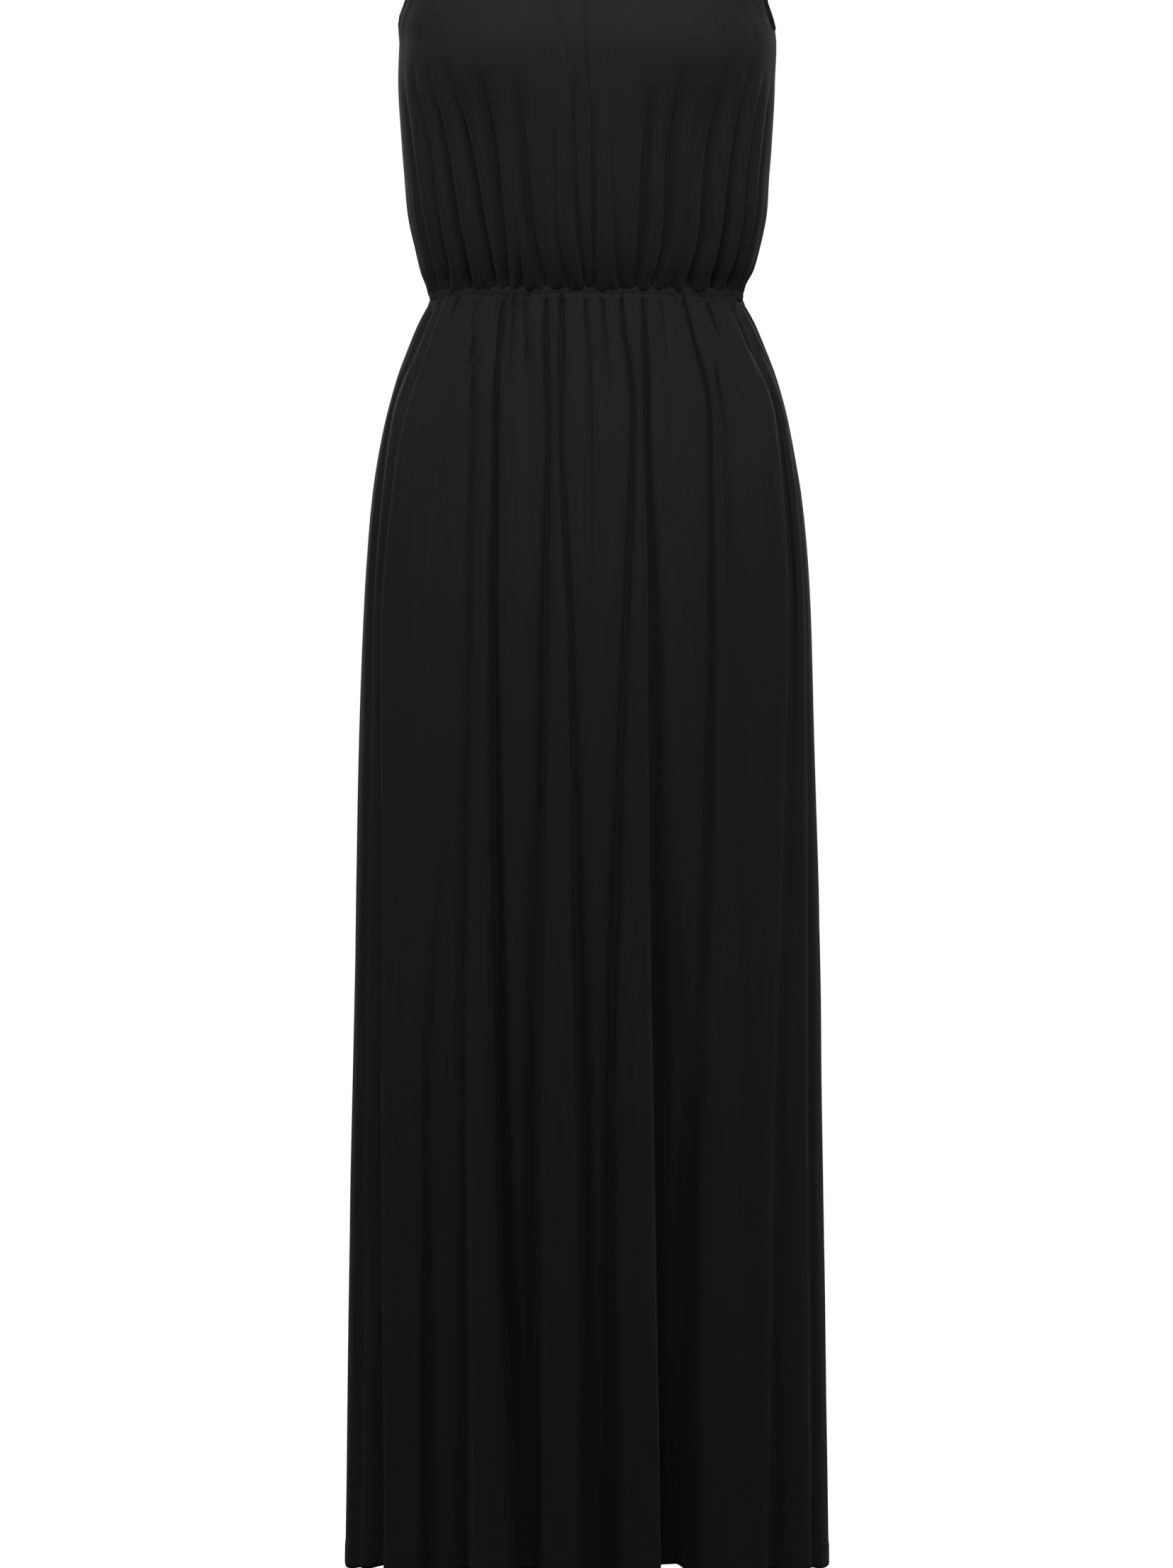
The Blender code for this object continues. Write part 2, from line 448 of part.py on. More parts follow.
def waist_casing(name):
    """The elastic casing: a closed ring, a little rounded."""
    waist = BODICE[0]
    rows = []
    for height, bulge in (
        (CASING_BOTTOM, 0.0),
        ((CASING_BOTTOM + CASING_TOP) / 2, CASING_BULGE),
        (CASING_TOP, 0.0),
    ):
        row = []
        for i in range(CASING_COLUMNS):
            turn = 2 * math.pi * i / CASING_COLUMNS - math.pi
            facing = -1 if abs(turn) <= SIDE else 1
            angle = turn if facing < 0 else math.copysign(math.pi - abs(turn), turn)
            reach = waist.front if facing < 0 else waist.back
            x, y = section_xy(np.array(angle), waist.half_width + bulge, reach + bulge, facing)
            row.append((float(x), float(y), height))
        rows.append(row)
    return sheet_object(name, rows, closed=True, facing_out=True)


def build():
    """Clears the scene and makes the dress."""
    for old in list(bpy.data.objects):
        bpy.data.objects.remove(old)
    dress = bpy.data.collections.new("sundress")
    bpy.context.scene.collection.children.link(dress)
    pieces = [
        bodice_panel("bodice_front", -1, BODICE_FRONT_FOLDS),
        bodice_panel("bodice_back", 1, BODICE_BACK_FOLDS),
        waist_casing("waist_casing"),
        skirt_panel("skirt_front", -1, SKIRT_FRONT_FOLDS),
        skirt_panel("skirt_back", 1, SKIRT_BACK_FOLDS),
    ]
    for piece in pieces:
        piece.data.materials.append(cloth_material(piece.name + "_cloth"))
        dress.objects.link(piece)


build()
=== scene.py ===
"""Looks of a sleeveless maxi sundress in black jersey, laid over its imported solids.

Metres, +Z up, the front of the dress faces -Y. Only the tables of folds and creases are in millimetres. Each
panel is a fine sheet of points on the form of its solid: the same sections and folds, with gathers, creases,
turned edges and stitches added. Rows of points run from the left side seam to the right one, and are listed
from the bottom of a panel up.
"""

import math
from collections import namedtuple

import bpy
import numpy as np
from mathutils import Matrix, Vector

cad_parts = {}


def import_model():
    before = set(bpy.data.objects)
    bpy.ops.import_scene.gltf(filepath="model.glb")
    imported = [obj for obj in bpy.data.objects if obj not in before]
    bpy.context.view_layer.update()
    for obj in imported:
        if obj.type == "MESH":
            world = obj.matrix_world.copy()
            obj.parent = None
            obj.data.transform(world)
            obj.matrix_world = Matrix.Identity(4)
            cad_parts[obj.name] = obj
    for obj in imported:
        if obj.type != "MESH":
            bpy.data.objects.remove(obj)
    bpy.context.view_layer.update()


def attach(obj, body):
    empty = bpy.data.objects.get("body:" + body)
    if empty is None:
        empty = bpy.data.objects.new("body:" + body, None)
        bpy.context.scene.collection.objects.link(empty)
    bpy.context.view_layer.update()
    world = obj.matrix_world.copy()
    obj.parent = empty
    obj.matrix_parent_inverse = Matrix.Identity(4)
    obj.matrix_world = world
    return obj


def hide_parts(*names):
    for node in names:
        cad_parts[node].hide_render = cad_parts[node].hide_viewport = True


# The photograph's framing
IMAGE_WIDTH = 1655
IMAGE_HEIGHT = 2212
METRES_PER_PIXEL = 0.000575
CENTRE_COLUMN = 827  # pixel column on the centre line of the dress
ORIGIN_ROW = -360  # pixel row level with the shoulders, above the photograph's edge
CAMERA_DISTANCE = 8.0
SENSOR = 36.0  # millimetres
CLIP_END = 100

# Seams and heights, as in the solids
SECTION_POWER = 2.25
SIDE = math.pi / 2
FRONT = -1  # the ways that a panel can face
BACK = 1
CASING_TOP = -0.4439
CASING_BOTTOM = -0.4517
SEAM_GAP = 0.0003
BODICE_BOTTOM = CASING_TOP + SEAM_GAP
SKIRT_TOP = CASING_BOTTOM - SEAM_GAP
HEM = -1.475
HEM_LIFT = 0.22  # how far a valley lifts the hem, as a share of its depth
HEM_LIFT_POWER = 4  # how soon that dies out up the skirt
FLOOR = -1.56
FLOOR_SIZE = 16

# Neck and shoulders
NECK_HALF_WIDTH = 0.088
NECK_POWER = 2.2
FRONT_NECK_HEIGHT = -0.145
BACK_NECK_HEIGHT = -0.055
SHOULDER_TIP = 0.142
NECK_ANGLE = math.radians(34)  # columns inside about this angle run up to the neckline
SQUEEZE_ANGLE = math.radians(40)  # columns outside this angle draw in beside the armhole

# Folds
GATHER_SHARPNESS = 1.25  # 2 is a round valley, less is sharper
FOLD_SHARPNESS_HEIGHTS = (-0.5, -0.8, -1.2)
FOLD_SHARPNESS = (1.25, 1.40, 1.75)
SIDEWAYS = 0.4  # share of a fold's depth that goes sideways where the panel turns to the side
SEAM_CALM = math.radians(14)  # a fold dies out over this angle beside a side seam
CROWN = 0.34  # how far the cloth beside a valley stands proud, as a share of its depth
FOLD_SPAN = 2.5  # how far a fold's rise beside its valley spreads, in widths of the fold
WAIST_SHARE = 0.35  # share of its depth that a skirt fold has in the waist seam
WAIST_RISE = 0.008  # length over which it grows to all of it

# Rows and columns of the fine sheets
RING_STEPS = 1441
UP_STEPS = 1000  # places up the bodice at which its height is looked up
BATCH = 64  # points of a line whose distances are found at once
TINY = 1e-12  # the least length of a normal
SKIRT_COLUMNS = 441
BODICE_COLUMNS = 321
CASING_COLUMNS = 900
CASING_ROWS = 11
CASING_REACH = 0.0030  # how far the panels run on behind the waist casing
BUST_LINE = 0.190  # up the bodice, where the gathers have died out
# Lengths from the waist seam at which rows start, and the number of rows to the next
SKIRT_SPANS = ((-CASING_REACH, 3), (0.0, 34), (0.060, 20), (0.155, 42), (0.985, 13), (1.0230, 0))
BODICE_SPANS = ((-CASING_REACH, 3), (0.0, 24), (0.030, 44), (BUST_LINE, 0))
# The same for the bodice's plain part, in shares of the way from the bust line to the edge
TOP_SPANS = ((0.0, 38), (0.88, 14), (1.0, 0))

# Places where the front is fuller, and how far that spreads towards the centre line, outwards, up and down
Fullness = namedtuple("Fullness", "x height inside outside above below depth")
BUST = (
    Fullness(-0.098, -0.256, 0.050, 0.034, 0.055, 0.040, 0.0110),
    Fullness(0.098, -0.256, 0.050, 0.034, 0.055, 0.040, 0.0110),
)
HIPS = (
    Fullness(-0.147, -0.585, 0.018, 0.012, 0.050, 0.100, 0.0028),
    Fullness(0.140, -0.595, 0.020, 0.012, 0.055, 0.110, 0.0050),
)

# Cloth
WALL = 0.0010
# How high the rims of a crease stand, as a share of its depth, and how far they spread, in its widths
PUCKER_RIM = (0.3, 2.2)
CREASE_RIM = (0.3, 2.0)
SIDE_CREASE_RIM = (0.4, 3.0)
CREASE_START = 0.25  # shares of its length over which a single crease deepens and dies out
CREASE_END = 1 / 3
SEAM_TUCK = 0.0009  # how far a panel's edge dips into its seam
SEAM_TUCK_WIDTH = 0.0016
UNDER_CASING = 0.0018  # how much deeper a panel's edge lies behind the waist casing
SEAM_LAP = 0.0002  # how far each panel reaches over the middle of a side seam
SEAM_STILL = 0.012  # the cloth is stiff, and lies even, this near to a side seam
PUCKERS = 84  # small gathers along the waist seam of a panel
PUCKER_SHIFT = 0.42  # how far one is off its even place, as a share of their spacing
PUCKER_DEPTHS = (0.0006, 0.0020)
PUCKER_WIDTHS = (0.0010, 0.0022)
SHORT_SHARES = (0.7, 0.6)  # how many are short above the waist, and below it
SHORT_UPS = (0.004, 0.018)
LONG_UPS = (0.018, 0.040)
SHORT_DOWNS = (0.008, 0.030)
LONG_DOWNS = (0.030, 0.130)
PUCKER_FADE = 1.4  # the higher, the more sudden is a small gather's end
PUCKER_LEAST = 0.001  # share of its depth at which it is taken to have ended
RUCHE = 0.8  # size of a gather on the waist casing, as a share of its size on the panels
RUCHE_FADE = 0.4  # share of that depth which it loses up the casing
STREAK_ACROSS = 0.011  # width, length and depth of the faint streaks of the hanging cloth
STREAK_DOWN = 0.160
STREAK_DEPTH = 0.00048
GATHER_STREAK = 0.0045  # width, length and depth of the faint streaks that the gathers leave near the waist
GATHER_STREAK_LENGTH = 0.070
GATHER_STREAK_DEPTH = 0.00115
SWELL_ACROSS = 0.038  # broad soft unevenness of the hanging cloth
SWELL_DOWN = 0.230
SWELL_DEPTH = 0.0012

OUTLINE_REACH = 0.150  # from the centre line to where the outline's unevenness is full

# Where the bodice hangs over the waist casing
LOBE_WIDTH = 0.0095  # of its small folds there
LOBE_LENGTH = 1.0  # more than the panel's height, so that they stay the same up the cloth
LOBE_HEIGHT = 0.0050
LOBE_DROP = 0.0016
LOBE_OUT = 0.0009
OVERHANG = 0.0012  # how far the whole of it hangs, down and out
OVERHANG_OUT = 0.0011
OVERHANG_SIDES = 0.2  # share of the way out that is left at the side seams
OVERHANG_FADE = 0.0360  # height over which it lies back
SKIRT_LIP = 0.0005  # how proud the skirt's gathers stand just under the casing
SKIRT_LIP_HEIGHT = 0.0030
# Shares of the way up the waist casing, and how far it stands proud there
CASING_PROFILE = ((0.0, 0.25, 0.55, 0.85, 1.0), (0.0003, 0.0007, 0.0010, 0.0008, 0.0002))

# Knit, as the jersey's texture
TONE_WIDTH = 0.0045  # of the streaks in its tone
TONE_LENGTH = 0.060
RIB_WIDTH = 0.0008
STITCH_HEIGHT = 0.0011
WAVE_PERIOD = 0.314  # of the wave texture, in its own units

# Turned edges
BACK_FLARE = 0.0030  # how far the back's right armhole edge stands out
BACK_FLARE_WIDTH = 0.014
EDGE_TURN = 0.0085
HEM_TURN = 0.0200
TURN_HEIGHT = 0.0004
TURN_STEP = 0.0016  # width of the step where the turned layer ends
TURN_DENT = 0.7  # depth of the dent along its stitches, as a share of its height
TURN_ROUND = 0.0012  # width of that dent, and of the edge's own rounding
STITCH_INSET = 0.0012  # from the end of the turned layer to its stitches
STITCH_LENGTH = 0.0024
STITCH_PITCH = 0.0031
STITCH_RADIUS = 0.00022
STITCH_SIDES = 6
# Sections of a stitch: place along it, thickness, and height above the cloth in radii of the thread
STITCH_SECTIONS = (
    (-0.5, 0.35, -0.9),
    (-0.32, 1.0, 0.2),
    (0.0, 1.0, 0.5),
    (0.32, 1.0, 0.2),
    (0.5, 0.35, -0.9),
)
TWIN_NEEDLES = 0.0032  # between the two rows of stitches at the hem

Girth = namedtuple("Girth", "up height half_width seam_y front back fall")
BODICE = (
    Girth(0.0, BODICE_BOTTOM, 0.1266, 0.0, 0.097, 0.086, 0.0),
    Girth(0.006, -0.4385, 0.1285, 0.0, 0.1003, 0.089, 0.0),
    Girth(0.018, -0.427, 0.1335, 0.0, 0.1058, 0.094, 0.0),
    Girth(0.035, -0.4105, 0.1378, 0.0, 0.1115, 0.0985, 0.0),
    Girth(0.075, -0.371, 0.1455, 0.0, 0.1188, 0.103, 0.0),
    Girth(0.12, -0.326, 0.1498, 0.0, 0.1242, 0.1055, 0.0),
    Girth(0.17, -0.276, 0.1518, 0.0, 0.1295, 0.109, 0.0),
    Girth(0.196, -0.25, 0.1514, 0.0, 0.131, 0.112, 0.0),
    Girth(0.24, -0.207, 0.1502, 0.0, 0.1218, 0.117, 0.0),
    Girth(0.29, -0.16, 0.149, 0.001, 0.104, 0.117, 0.0),
    Girth(0.34, -0.115, 0.148, 0.003, 0.083, 0.108, 0.02),
    Girth(0.385, -0.075, 0.147, 0.005, 0.062, 0.092, 0.08),
    Girth(0.42, -0.04, 0.1465, 0.007, 0.05, 0.07, 0.18),
    Girth(0.45, -0.014, 0.146, 0.009, 0.034, 0.044, 0.26),
    Girth(0.475, -0.001, 0.1455, 0.011, 0.014, 0.017, 0.32),
    Girth(0.49, 0.0, 0.145, 0.012, 0.0, 0.0, 0.33),
)

Ring = namedtuple("Ring", "height half_width front back")
SKIRT = (
    Ring(SKIRT_TOP, 0.1272, 0.0985, 0.0875),
    Ring(-0.46, 0.1305, 0.0999, 0.0915),
    Ring(-0.483, 0.1403, 0.1033, 0.103),
    Ring(-0.5175, 0.1535, 0.1085, 0.12),
    Ring(-0.552, 0.1633, 0.114, 0.132),
    Ring(-0.621, 0.1748, 0.124, 0.142),
    Ring(-0.69, 0.1797, 0.1318, 0.145),
    Ring(-0.828, 0.1846, 0.14, 0.149),
    Ring(-1.07, 0.1896, 0.15, 0.158),
    Ring(HEM, 0.196, 0.166, 0.175),
)

Armhole = namedtuple("Armhole", "height front_right front_left back")
ARMHOLE = (
    Armhole(-0.2346, 0.1512, 0.1512, 0.1512),
    Armhole(-0.2326, 0.1484, 0.1504, 0.1507),
    Armhole(-0.228, 0.1456, 0.1494, 0.15),
    Armhole(-0.2185, 0.1424, 0.1478, 0.1484),
    Armhole(-0.207, 0.1402, 0.1447, 0.1452),
    Armhole(-0.165, 0.1345, 0.137, 0.1385),
    Armhole(-0.12, 0.131, 0.132, 0.135),
    Armhole(-0.07, 0.133, 0.1335, 0.136),
    Armhole(-0.0178, SHOULDER_TIP, SHOULDER_TIP, SHOULDER_TIP),
)

# How far the left and right outlines of the front view lie outside the even form of the solids
Outline = namedtuple("Outline", "height left right")
OUTLINE = (
    Outline(-0.13, 0.0, 0.0),
    Outline(-0.21, 0.0, 0.0006),
    Outline(-0.225, 0.002, 0.001),
    Outline(-0.2415, -0.0006, 0.0022),
    Outline(-0.276, 0.0, 0.0006),
    Outline(-0.345, -0.0004, 0.0006),
    Outline(-0.391, 0.0006, 0.0028),
    Outline(-0.4255, 0.0, 0.0017),
    Outline(-0.44, 0.0, 0.0),
    Outline(-0.456, 0.0, 0.0),
    Outline(-0.472, 0.0011, 0.0011),
    Outline(-0.552, 0.0, 0.0006),
    Outline(-0.69, -0.0004, 0.0017),
    Outline(-0.828, -0.0002, 0.0006),
    Outline(-0.966, -0.0006, 0.0014),
    Outline(-1.14, -0.0006, 0.0008),
    Outline(HEM, -0.0009, 0.0006),
)


def in_millimetres(kind, rows):
    """The rows of a table that gives its lengths in millimetres."""
    return [kind(*(length / 1000 for length in row)) for row in rows]


# Gathers of the bodice: x at four lengths up the cloth, depths, widths to both sides, and the length up at
# which each ends
BODICE_FOLD_LEVELS = (0.0, 0.040, 0.110, 0.168)
BODICE_DEPTH_LEVELS = (0.0, 0.008, 0.100, 0.150, 0.188)  # for a gather that ends at the last of them
RIBS_TO_BUST = 0.8  # share of a gather's depth at the ribs that it keeps just under the bust
GATHER_WIDTH_LEVELS = (0.0, 0.040, 0.110, 0.180)
GATHER_WIDTH_SHARES = (0.55, 0.70, 0.82, 1.0)
Gather = namedtuple("Gather", "waist midriff ribs bust deep_waist deep_midriff deep_ribs left right top")
BODICE_FRONT_FOLDS = in_millimetres(Gather, (
    (-119, -128.5, -140, -146, 1.5, 4.5, 4.5, 8, 5, 182),
    (-108.7, -116, -127, -136, 2.5, 8.5, 10, 10, 6, 188),
    (-92, -100.6, -112.7, -122.5, 2.5, 9.5, 11.5, 10, 6, 184),
    (-72, -79.4, -92.6, -104, 2.5, 9.5, 11.5, 10, 6, 188),
    (-61.5, -65.6, -72.5, -80, 2.5, 9, 9.5, 9, 6, 176),
    (-51, -54, -59, -64, 2, 4, 0, 5, 5, 130),
    (-31.6, -42, -49.5, -54.6, 2.5, 7.5, 6.5, 9, 7, 168),
    (-15, -22.4, -24, -24, 1.5, 3.8, 2.2, 6, 6, 145),
    (-1, -5.8, -9.4, -9.8, 1.5, 4, 3.6, 4, 3, 180),
    (7, 5.8, 5, 4, 2, 4.5, 3.5, 3, 5, 152),
    (25.5, 23, 20, 18.5, 1.5, 4, 1.8, 5, 6, 130),
    (40, 42.5, 47, 52, 2.5, 7.5, 6.5, 6, 9, 164),
    (51, 61, 65.5, 74, 2.5, 8, 8.5, 6, 11, 178),
    (68, 76.5, 83, 88, 1.5, 3.5, 1.8, 5, 5, 132),
    (80.5, 89.7, 97, 105, 2.5, 9.5, 11.5, 8, 13, 186),
    (100, 108, 118, 125, 2.5, 9.5, 11.5, 6, 11, 188),
    (114, 122.5, 132, 140, 2.5, 8, 8.5, 5, 8, 180),
    (122, 132, 142, 147, 1.5, 4.5, 5, 5, 7, 172),
))
BODICE_BACK_FOLDS = in_millimetres(Gather, (
    (-118, -128, -139, -145, 1, 3, 2.5, 8, 6, 172),
    (-106, -114, -123, -130, 1, 4, 3.5, 8, 6, 188),
    (-89, -96, -104, -110, 1, 4.5, 4, 7, 7, 160),
    (-70, -77, -85, -92, 1, 4, 2.5, 7, 6, 122),
    (-56, -60, -66, -70, 1, 4.5, 4, 6, 8, 182),
    (-38, -42, -46, -49, 1, 3.5, 1.2, 6, 6, 112),
    (-21, -24, -28, -31, 1, 4, 3, 7, 6, 150),
    (-4, -5, -7, -8, 1, 3, 1.5, 6, 6, 104),
    (13, 15, 17, 18, 1, 4, 2.5, 6, 7, 136),
    (30, 33, 37, 40, 1, 3.5, 1, 6, 6, 108),
    (46, 51, 56, 60, 1, 4.5, 3.8, 8, 6, 174),
    (64, 70, 76, 81, 1, 3.5, 2, 6, 7, 118),
    (82, 89, 97, 103, 1, 4.5, 4.2, 7, 7, 186),
    (101, 109, 118, 125, 1, 4, 3.8, 6, 9, 164),
    (117, 127, 138, 144, 1, 3.5, 2.5, 6, 8, 180),
))

# Folds of the skirt: x at five heights, depths at four, and widths to both sides at the hem
SKIRT_FOLD_HEIGHTS = (-0.463, -0.552, -0.725, -1.070, -1.466)
SKIRT_DEPTH_HEIGHTS = (-0.462, -0.552, -1.000, -1.475)
FOLD_WIDTH_HEIGHTS = (-0.452, -0.552, -0.725, -1.100, -1.475)
FOLD_WIDTH_SHARES = (0.26, 0.42, 0.62, 0.85, 1.0)
Fold = namedtuple("Fold", "waist hip thigh knee hem deep_waist deep_hip deep_knee deep_hem left right")
SKIRT_FRONT_FOLDS = in_millimetres(Fold, (
    (-127, -160, -175.5, -180.5, -185, 2.5, 5, 6, 10, 12, 16),
    (-118, -148, -168, -169, -168, 3.5, 6, 15, 25, 22, 8),
    (-102, -120, -127, -116, -109, 4, 3.5, 4, 5, 26, 24),
    (-90, -89, -91, -96, -96, 3.5, 5.5, 8, 10, 12, 13),
    (-67, -73, -75, -74, -57.5, 5, 9, 13, 10, 7, 16),
    (-57, -60, -61, -60, -50, 3.5, 2, 0, 0, 12, 12),
    (-48, -43, -43, -45, -44, 3.5, 3, 0, 0, 12, 12),
    (-32, -30, -33, -36, -39, 4.5, 7, 11, 10, 14, 13),
    (-19.5, -19.5, -13, -7, -0.5, 4.5, 6, 8, 7, 8, 14),
    (0, 4, 4, 5, 8, 4, 3.5, 0, 0, 12, 12),
    (13, 19, 18, 13, 15, 3.5, 2, 0, 0, 12, 12),
    (27.5, 37, 30.5, 21.5, 23, 4.5, 6.5, 8, 10, 12, 14),
    (45, 47, 51, 54.5, 60.5, 5, 8.5, 13, 8, 7, 16),
    (60, 65, 66, 65, 69, 3.5, 1.5, 0, 0, 12, 12),
    (79, 98, 98, 87.5, 79, 5, 7, 9, 8, 14, 10),
    (99, 107, 113, 123, 128, 4, 6, 6, 4, 10, 18),
    (119, 155, 166.5, 157, 151, 5.5, 12, 13, 17, 16, 14),
    (127.5, 162, 176, 179.5, 183, 2.5, 1.5, 5, 8, 10, 12),
))
SKIRT_BACK_FOLDS = in_millimetres(Fold, (
    (-127, -156, -172, -179, -185, 2.5, 3, 7, 11, 18, 20),
    (-116, -135, -148, -152, -156, 3.5, 5, 13, 20, 26, 12),
    (-96, -108, -112, -113, -117, 3.5, 4, 7, 11, 18, 16),
    (-79, -85, -84, -82, -80, 4, 6, 14, 21, 12, 22),
    (-60, -62, -60, -58, -56, 3.5, 2, 0, 0, 12, 12),
    (-43, -45, -46, -44, -43, 3.5, 4.5, 9, 13, 18, 12),
    (-26, -27, -24, -17, -12, 3.5, 5, 12, 19, 12, 20),
    (-8, -6, 0, 2, 4, 3, 2, 0, 0, 12, 12),
    (11, 15, 18, 21, 24, 3.5, 4, 6, 10, 16, 12),
    (29, 33, 36, 40, 46, 4, 6, 13, 20, 14, 22),
    (48, 54, 56, 59, 64, 3.5, 2, 0, 0, 12, 12),
    (66, 74, 78, 80, 82, 3.5, 5, 9, 13, 18, 12),
    (85, 96, 101, 106, 111, 4, 5.5, 13, 18, 12, 22),
    (106, 126, 140, 145, 150, 3.5, 5, 12, 20, 14, 26),
    (124, 154, 170, 178, 183.5, 2.5, 3.5, 6, 10, 20, 18),
))

# Flat hollows between the ridges of the lower skirt: the x of their edges and their depth at three heights,
# and how wide their side walls are
HOLLOW_HEIGHTS = (-0.840, -1.130, -1.466)
HOLLOW_START = -0.700
Hollow = namedtuple(
    "Hollow",
    "left_thigh right_thigh left_knee right_knee left_hem right_hem thigh knee hem left_wall right_wall",
)
SKIRT_FRONT_HOLLOWS = in_millimetres(Hollow, (
    (-113, -93, -131, -96, -131, -95, 1.5, 8, 13, 10, 9),
    (-76, -42, -74.5, -37.5, -58, -37, 3.5, 11, 17, 6, 14),
    (-13, 29, -8.5, 22.5, -8, 24, 1.2, 7, 12, 12, 11),
    (50, 70, 55, 83, 60, 82.5, 1.2, 15, 32, 5, 15),
))
SKIRT_BACK_HOLLOWS = in_millimetres(Hollow, (
    (-150, -125, -154, -125, -158, -130, 3, 10, 16, 4, 10),
    (-86, -60, -84, -56, -82, -52, 3, 11, 18, 3, 9),
    (-28, 0, -22, 5, -16, 8, 3, 10, 15, 6, 4),
    (34, 56, 38, 62, 43, 68, 3, 13, 22, 3, 8),
    (102, 128, 106, 133, 110, 138, 3, 9, 15, 5, 10),
))

# Long creases beside the side seams of the skirt: x at the heights of its folds, and depth and width as seen
# from the front
SideCrease = namedtuple("SideCrease", "waist hip thigh knee hem depth width")
SIDE_CREASES = in_millimetres(SideCrease, (
    (-126, -159.5, -174.8, -172, -169, 1.6, 2.8),
    (125, 155.3, 166.4, 157.5, 154, 2.4, 3),
))
SIDE_CREASE_END = -1.05
SIDE_CREASE_FADE = 0.40

# Single creases of the chest, from one end to the other, as seen from the front
Crease = namedtuple("Crease", "x_top z_top x_bottom z_bottom depth width")
CHEST_CREASES = in_millimetres(Crease, (
    (-3.5, -150, 3.8, -335, 1.7, 2.2),
    (-44, -156, -13, -272, 1.3, 3),
    (108, -175, 101, -240, 0.5, 6),
    (-112, -180, -106, -245, 0.5, 6),
))
BACK_CREASES = in_millimetres(Crease, (
    (-70, -90, -45, -230, 1, 6),
    (72, -95, 50, -220, 1, 7),
    (6, -70, 4, -250, 0.7, 4),
))


def curve(at, knots, values):
    """A smooth curve through the values that never overshoots them."""
    order = np.argsort(knots)
    k = np.asarray(knots, float)[order]
    v = np.asarray(values, float)[order]
    step = np.diff(k)
    slope = np.diff(v) / step
    tangent = np.zeros(len(k))
    tangent[0] = slope[0]
    tangent[-1] = slope[-1]
    same_way = slope[:-1] * slope[1:] > 0
    near = 2 * step[1:] + step[:-1]
    far = step[1:] + 2 * step[:-1]
    first = np.where(same_way, slope[:-1], 1.0)
    second = np.where(same_way, slope[1:], 1.0)
    tangent[1:-1] = np.where(same_way, (near + far) / (near / first + far / second), 0.0)
    at = np.clip(at, k[0], k[-1])
    i = np.clip(np.searchsorted(k, at) - 1, 0, len(step) - 1)
    t = (at - k[i]) / step[i]
    start = (1 + 2 * t) * (1 - t) ** 2 * v[i] + t * (1 - t) ** 2 * step[i] * tangent[i]
    end = t * t * (3 - 2 * t) * v[i + 1] + t * t * (t - 1) * step[i] * tangent[i + 1]
    return start + end


def curves(at, knots, rows):
    """The smooth curves of several rows of values over the same knots."""
    return np.array([curve(at, knots, row) for row in rows])


def ease(t):
    """0 to 1, level at both ends."""
    t = np.clip(t, 0.0, 1.0)
    return t * t * (3 - 2 * t)


def angle_at(x, half_width):
    """The angle round a section where it is x from the centre line."""
    share = np.clip(np.abs(x) / half_width, 0.0, 1.0)
    return np.sign(x) * np.arcsin(share ** (SECTION_POWER / 2))


def section_xy(angle, half_width, reach, facing):
    """A point of a section. facing is FRONT or BACK."""
    x = half_width * np.sign(angle) * np.abs(np.sin(angle)) ** (2 / SECTION_POWER)
    y = facing * reach * np.abs(np.cos(angle)) ** (2 / SECTION_POWER)
    return x, y


def half_ring(half_width, reach):
    """Angles round half a section, and the length of cloth from the left seam to each."""
    ring = np.linspace(-SIDE, SIDE, RING_STEPS)
    x, y = section_xy(ring, half_width, reach, 1)
    lengths = np.concatenate([[0.0], np.cumsum(np.hypot(np.diff(x), np.diff(y)))])
    return ring, lengths


def fold_offset(along, centres, depths, lefts, rights, sharpness):
    """How far the folds move the cloth outwards at each length along one section."""
    total = np.zeros_like(along)
    for centre, depth, left, right in zip(centres, depths, lefts, rights):
        away = np.where(along < centre, (centre - along) / left, (along - centre) / right)
        valley = CROWN - (1 + CROWN) * np.exp(-(away**sharpness))
        total += depth * valley * np.exp(-((away / FOLD_SPAN) ** 2))
    return total


def hollow_offset(along, edges, depths, walls):
    """How far the flat hollows move the cloth outwards at each length along one section."""
    total = np.zeros_like(along)
    for (left, right), depth, (left_wall, right_wall) in zip(edges, depths, walls):
        inside = ease((along - left) / left_wall + 0.5) * ease((right - along) / right_wall + 0.5)
        total -= depth * inside
    return total


def folded_row(along, half_width, reach, facing, places, depths, lefts, rights, sharpness, hollows=None):
    """The x and y of a row's points with its folds, how far these move them, and their angles."""
    ring, lengths = half_ring(half_width, reach)
    angle = np.interp(along, lengths, ring)
    centres = np.interp(angle_at(places, half_width), ring, lengths)
    offset = fold_offset(along, centres, depths, lefts, rights, sharpness)
    if hollows:
        edges, hollow_depths, walls = hollows
        edges = np.interp(angle_at(edges, half_width), ring, lengths)
        offset += hollow_offset(along, edges, hollow_depths, walls)
    offset *= ease((SIDE - np.abs(angle)) / SEAM_CALM)
    x, y = section_xy(angle, half_width, reach, facing)
    across = np.sign(angle) * np.abs(np.sin(angle)) ** (2 - 2 / SECTION_POWER) / half_width
    ahead = facing * np.abs(np.cos(angle)) ** (2 - 2 / SECTION_POWER) / reach
    size = np.hypot(across, ahead)
    return x + SIDEWAYS * offset * across / size, y + offset * ahead / size, offset, angle


def spread(spans):
    """Places of rows: spans are (start, number of rows until the next start)."""
    places = [np.linspace(a, b, count, endpoint=False) for (a, count), (b, _) in zip(spans, spans[1:])]
    return np.concatenate(places + [[spans[-1][0]]])


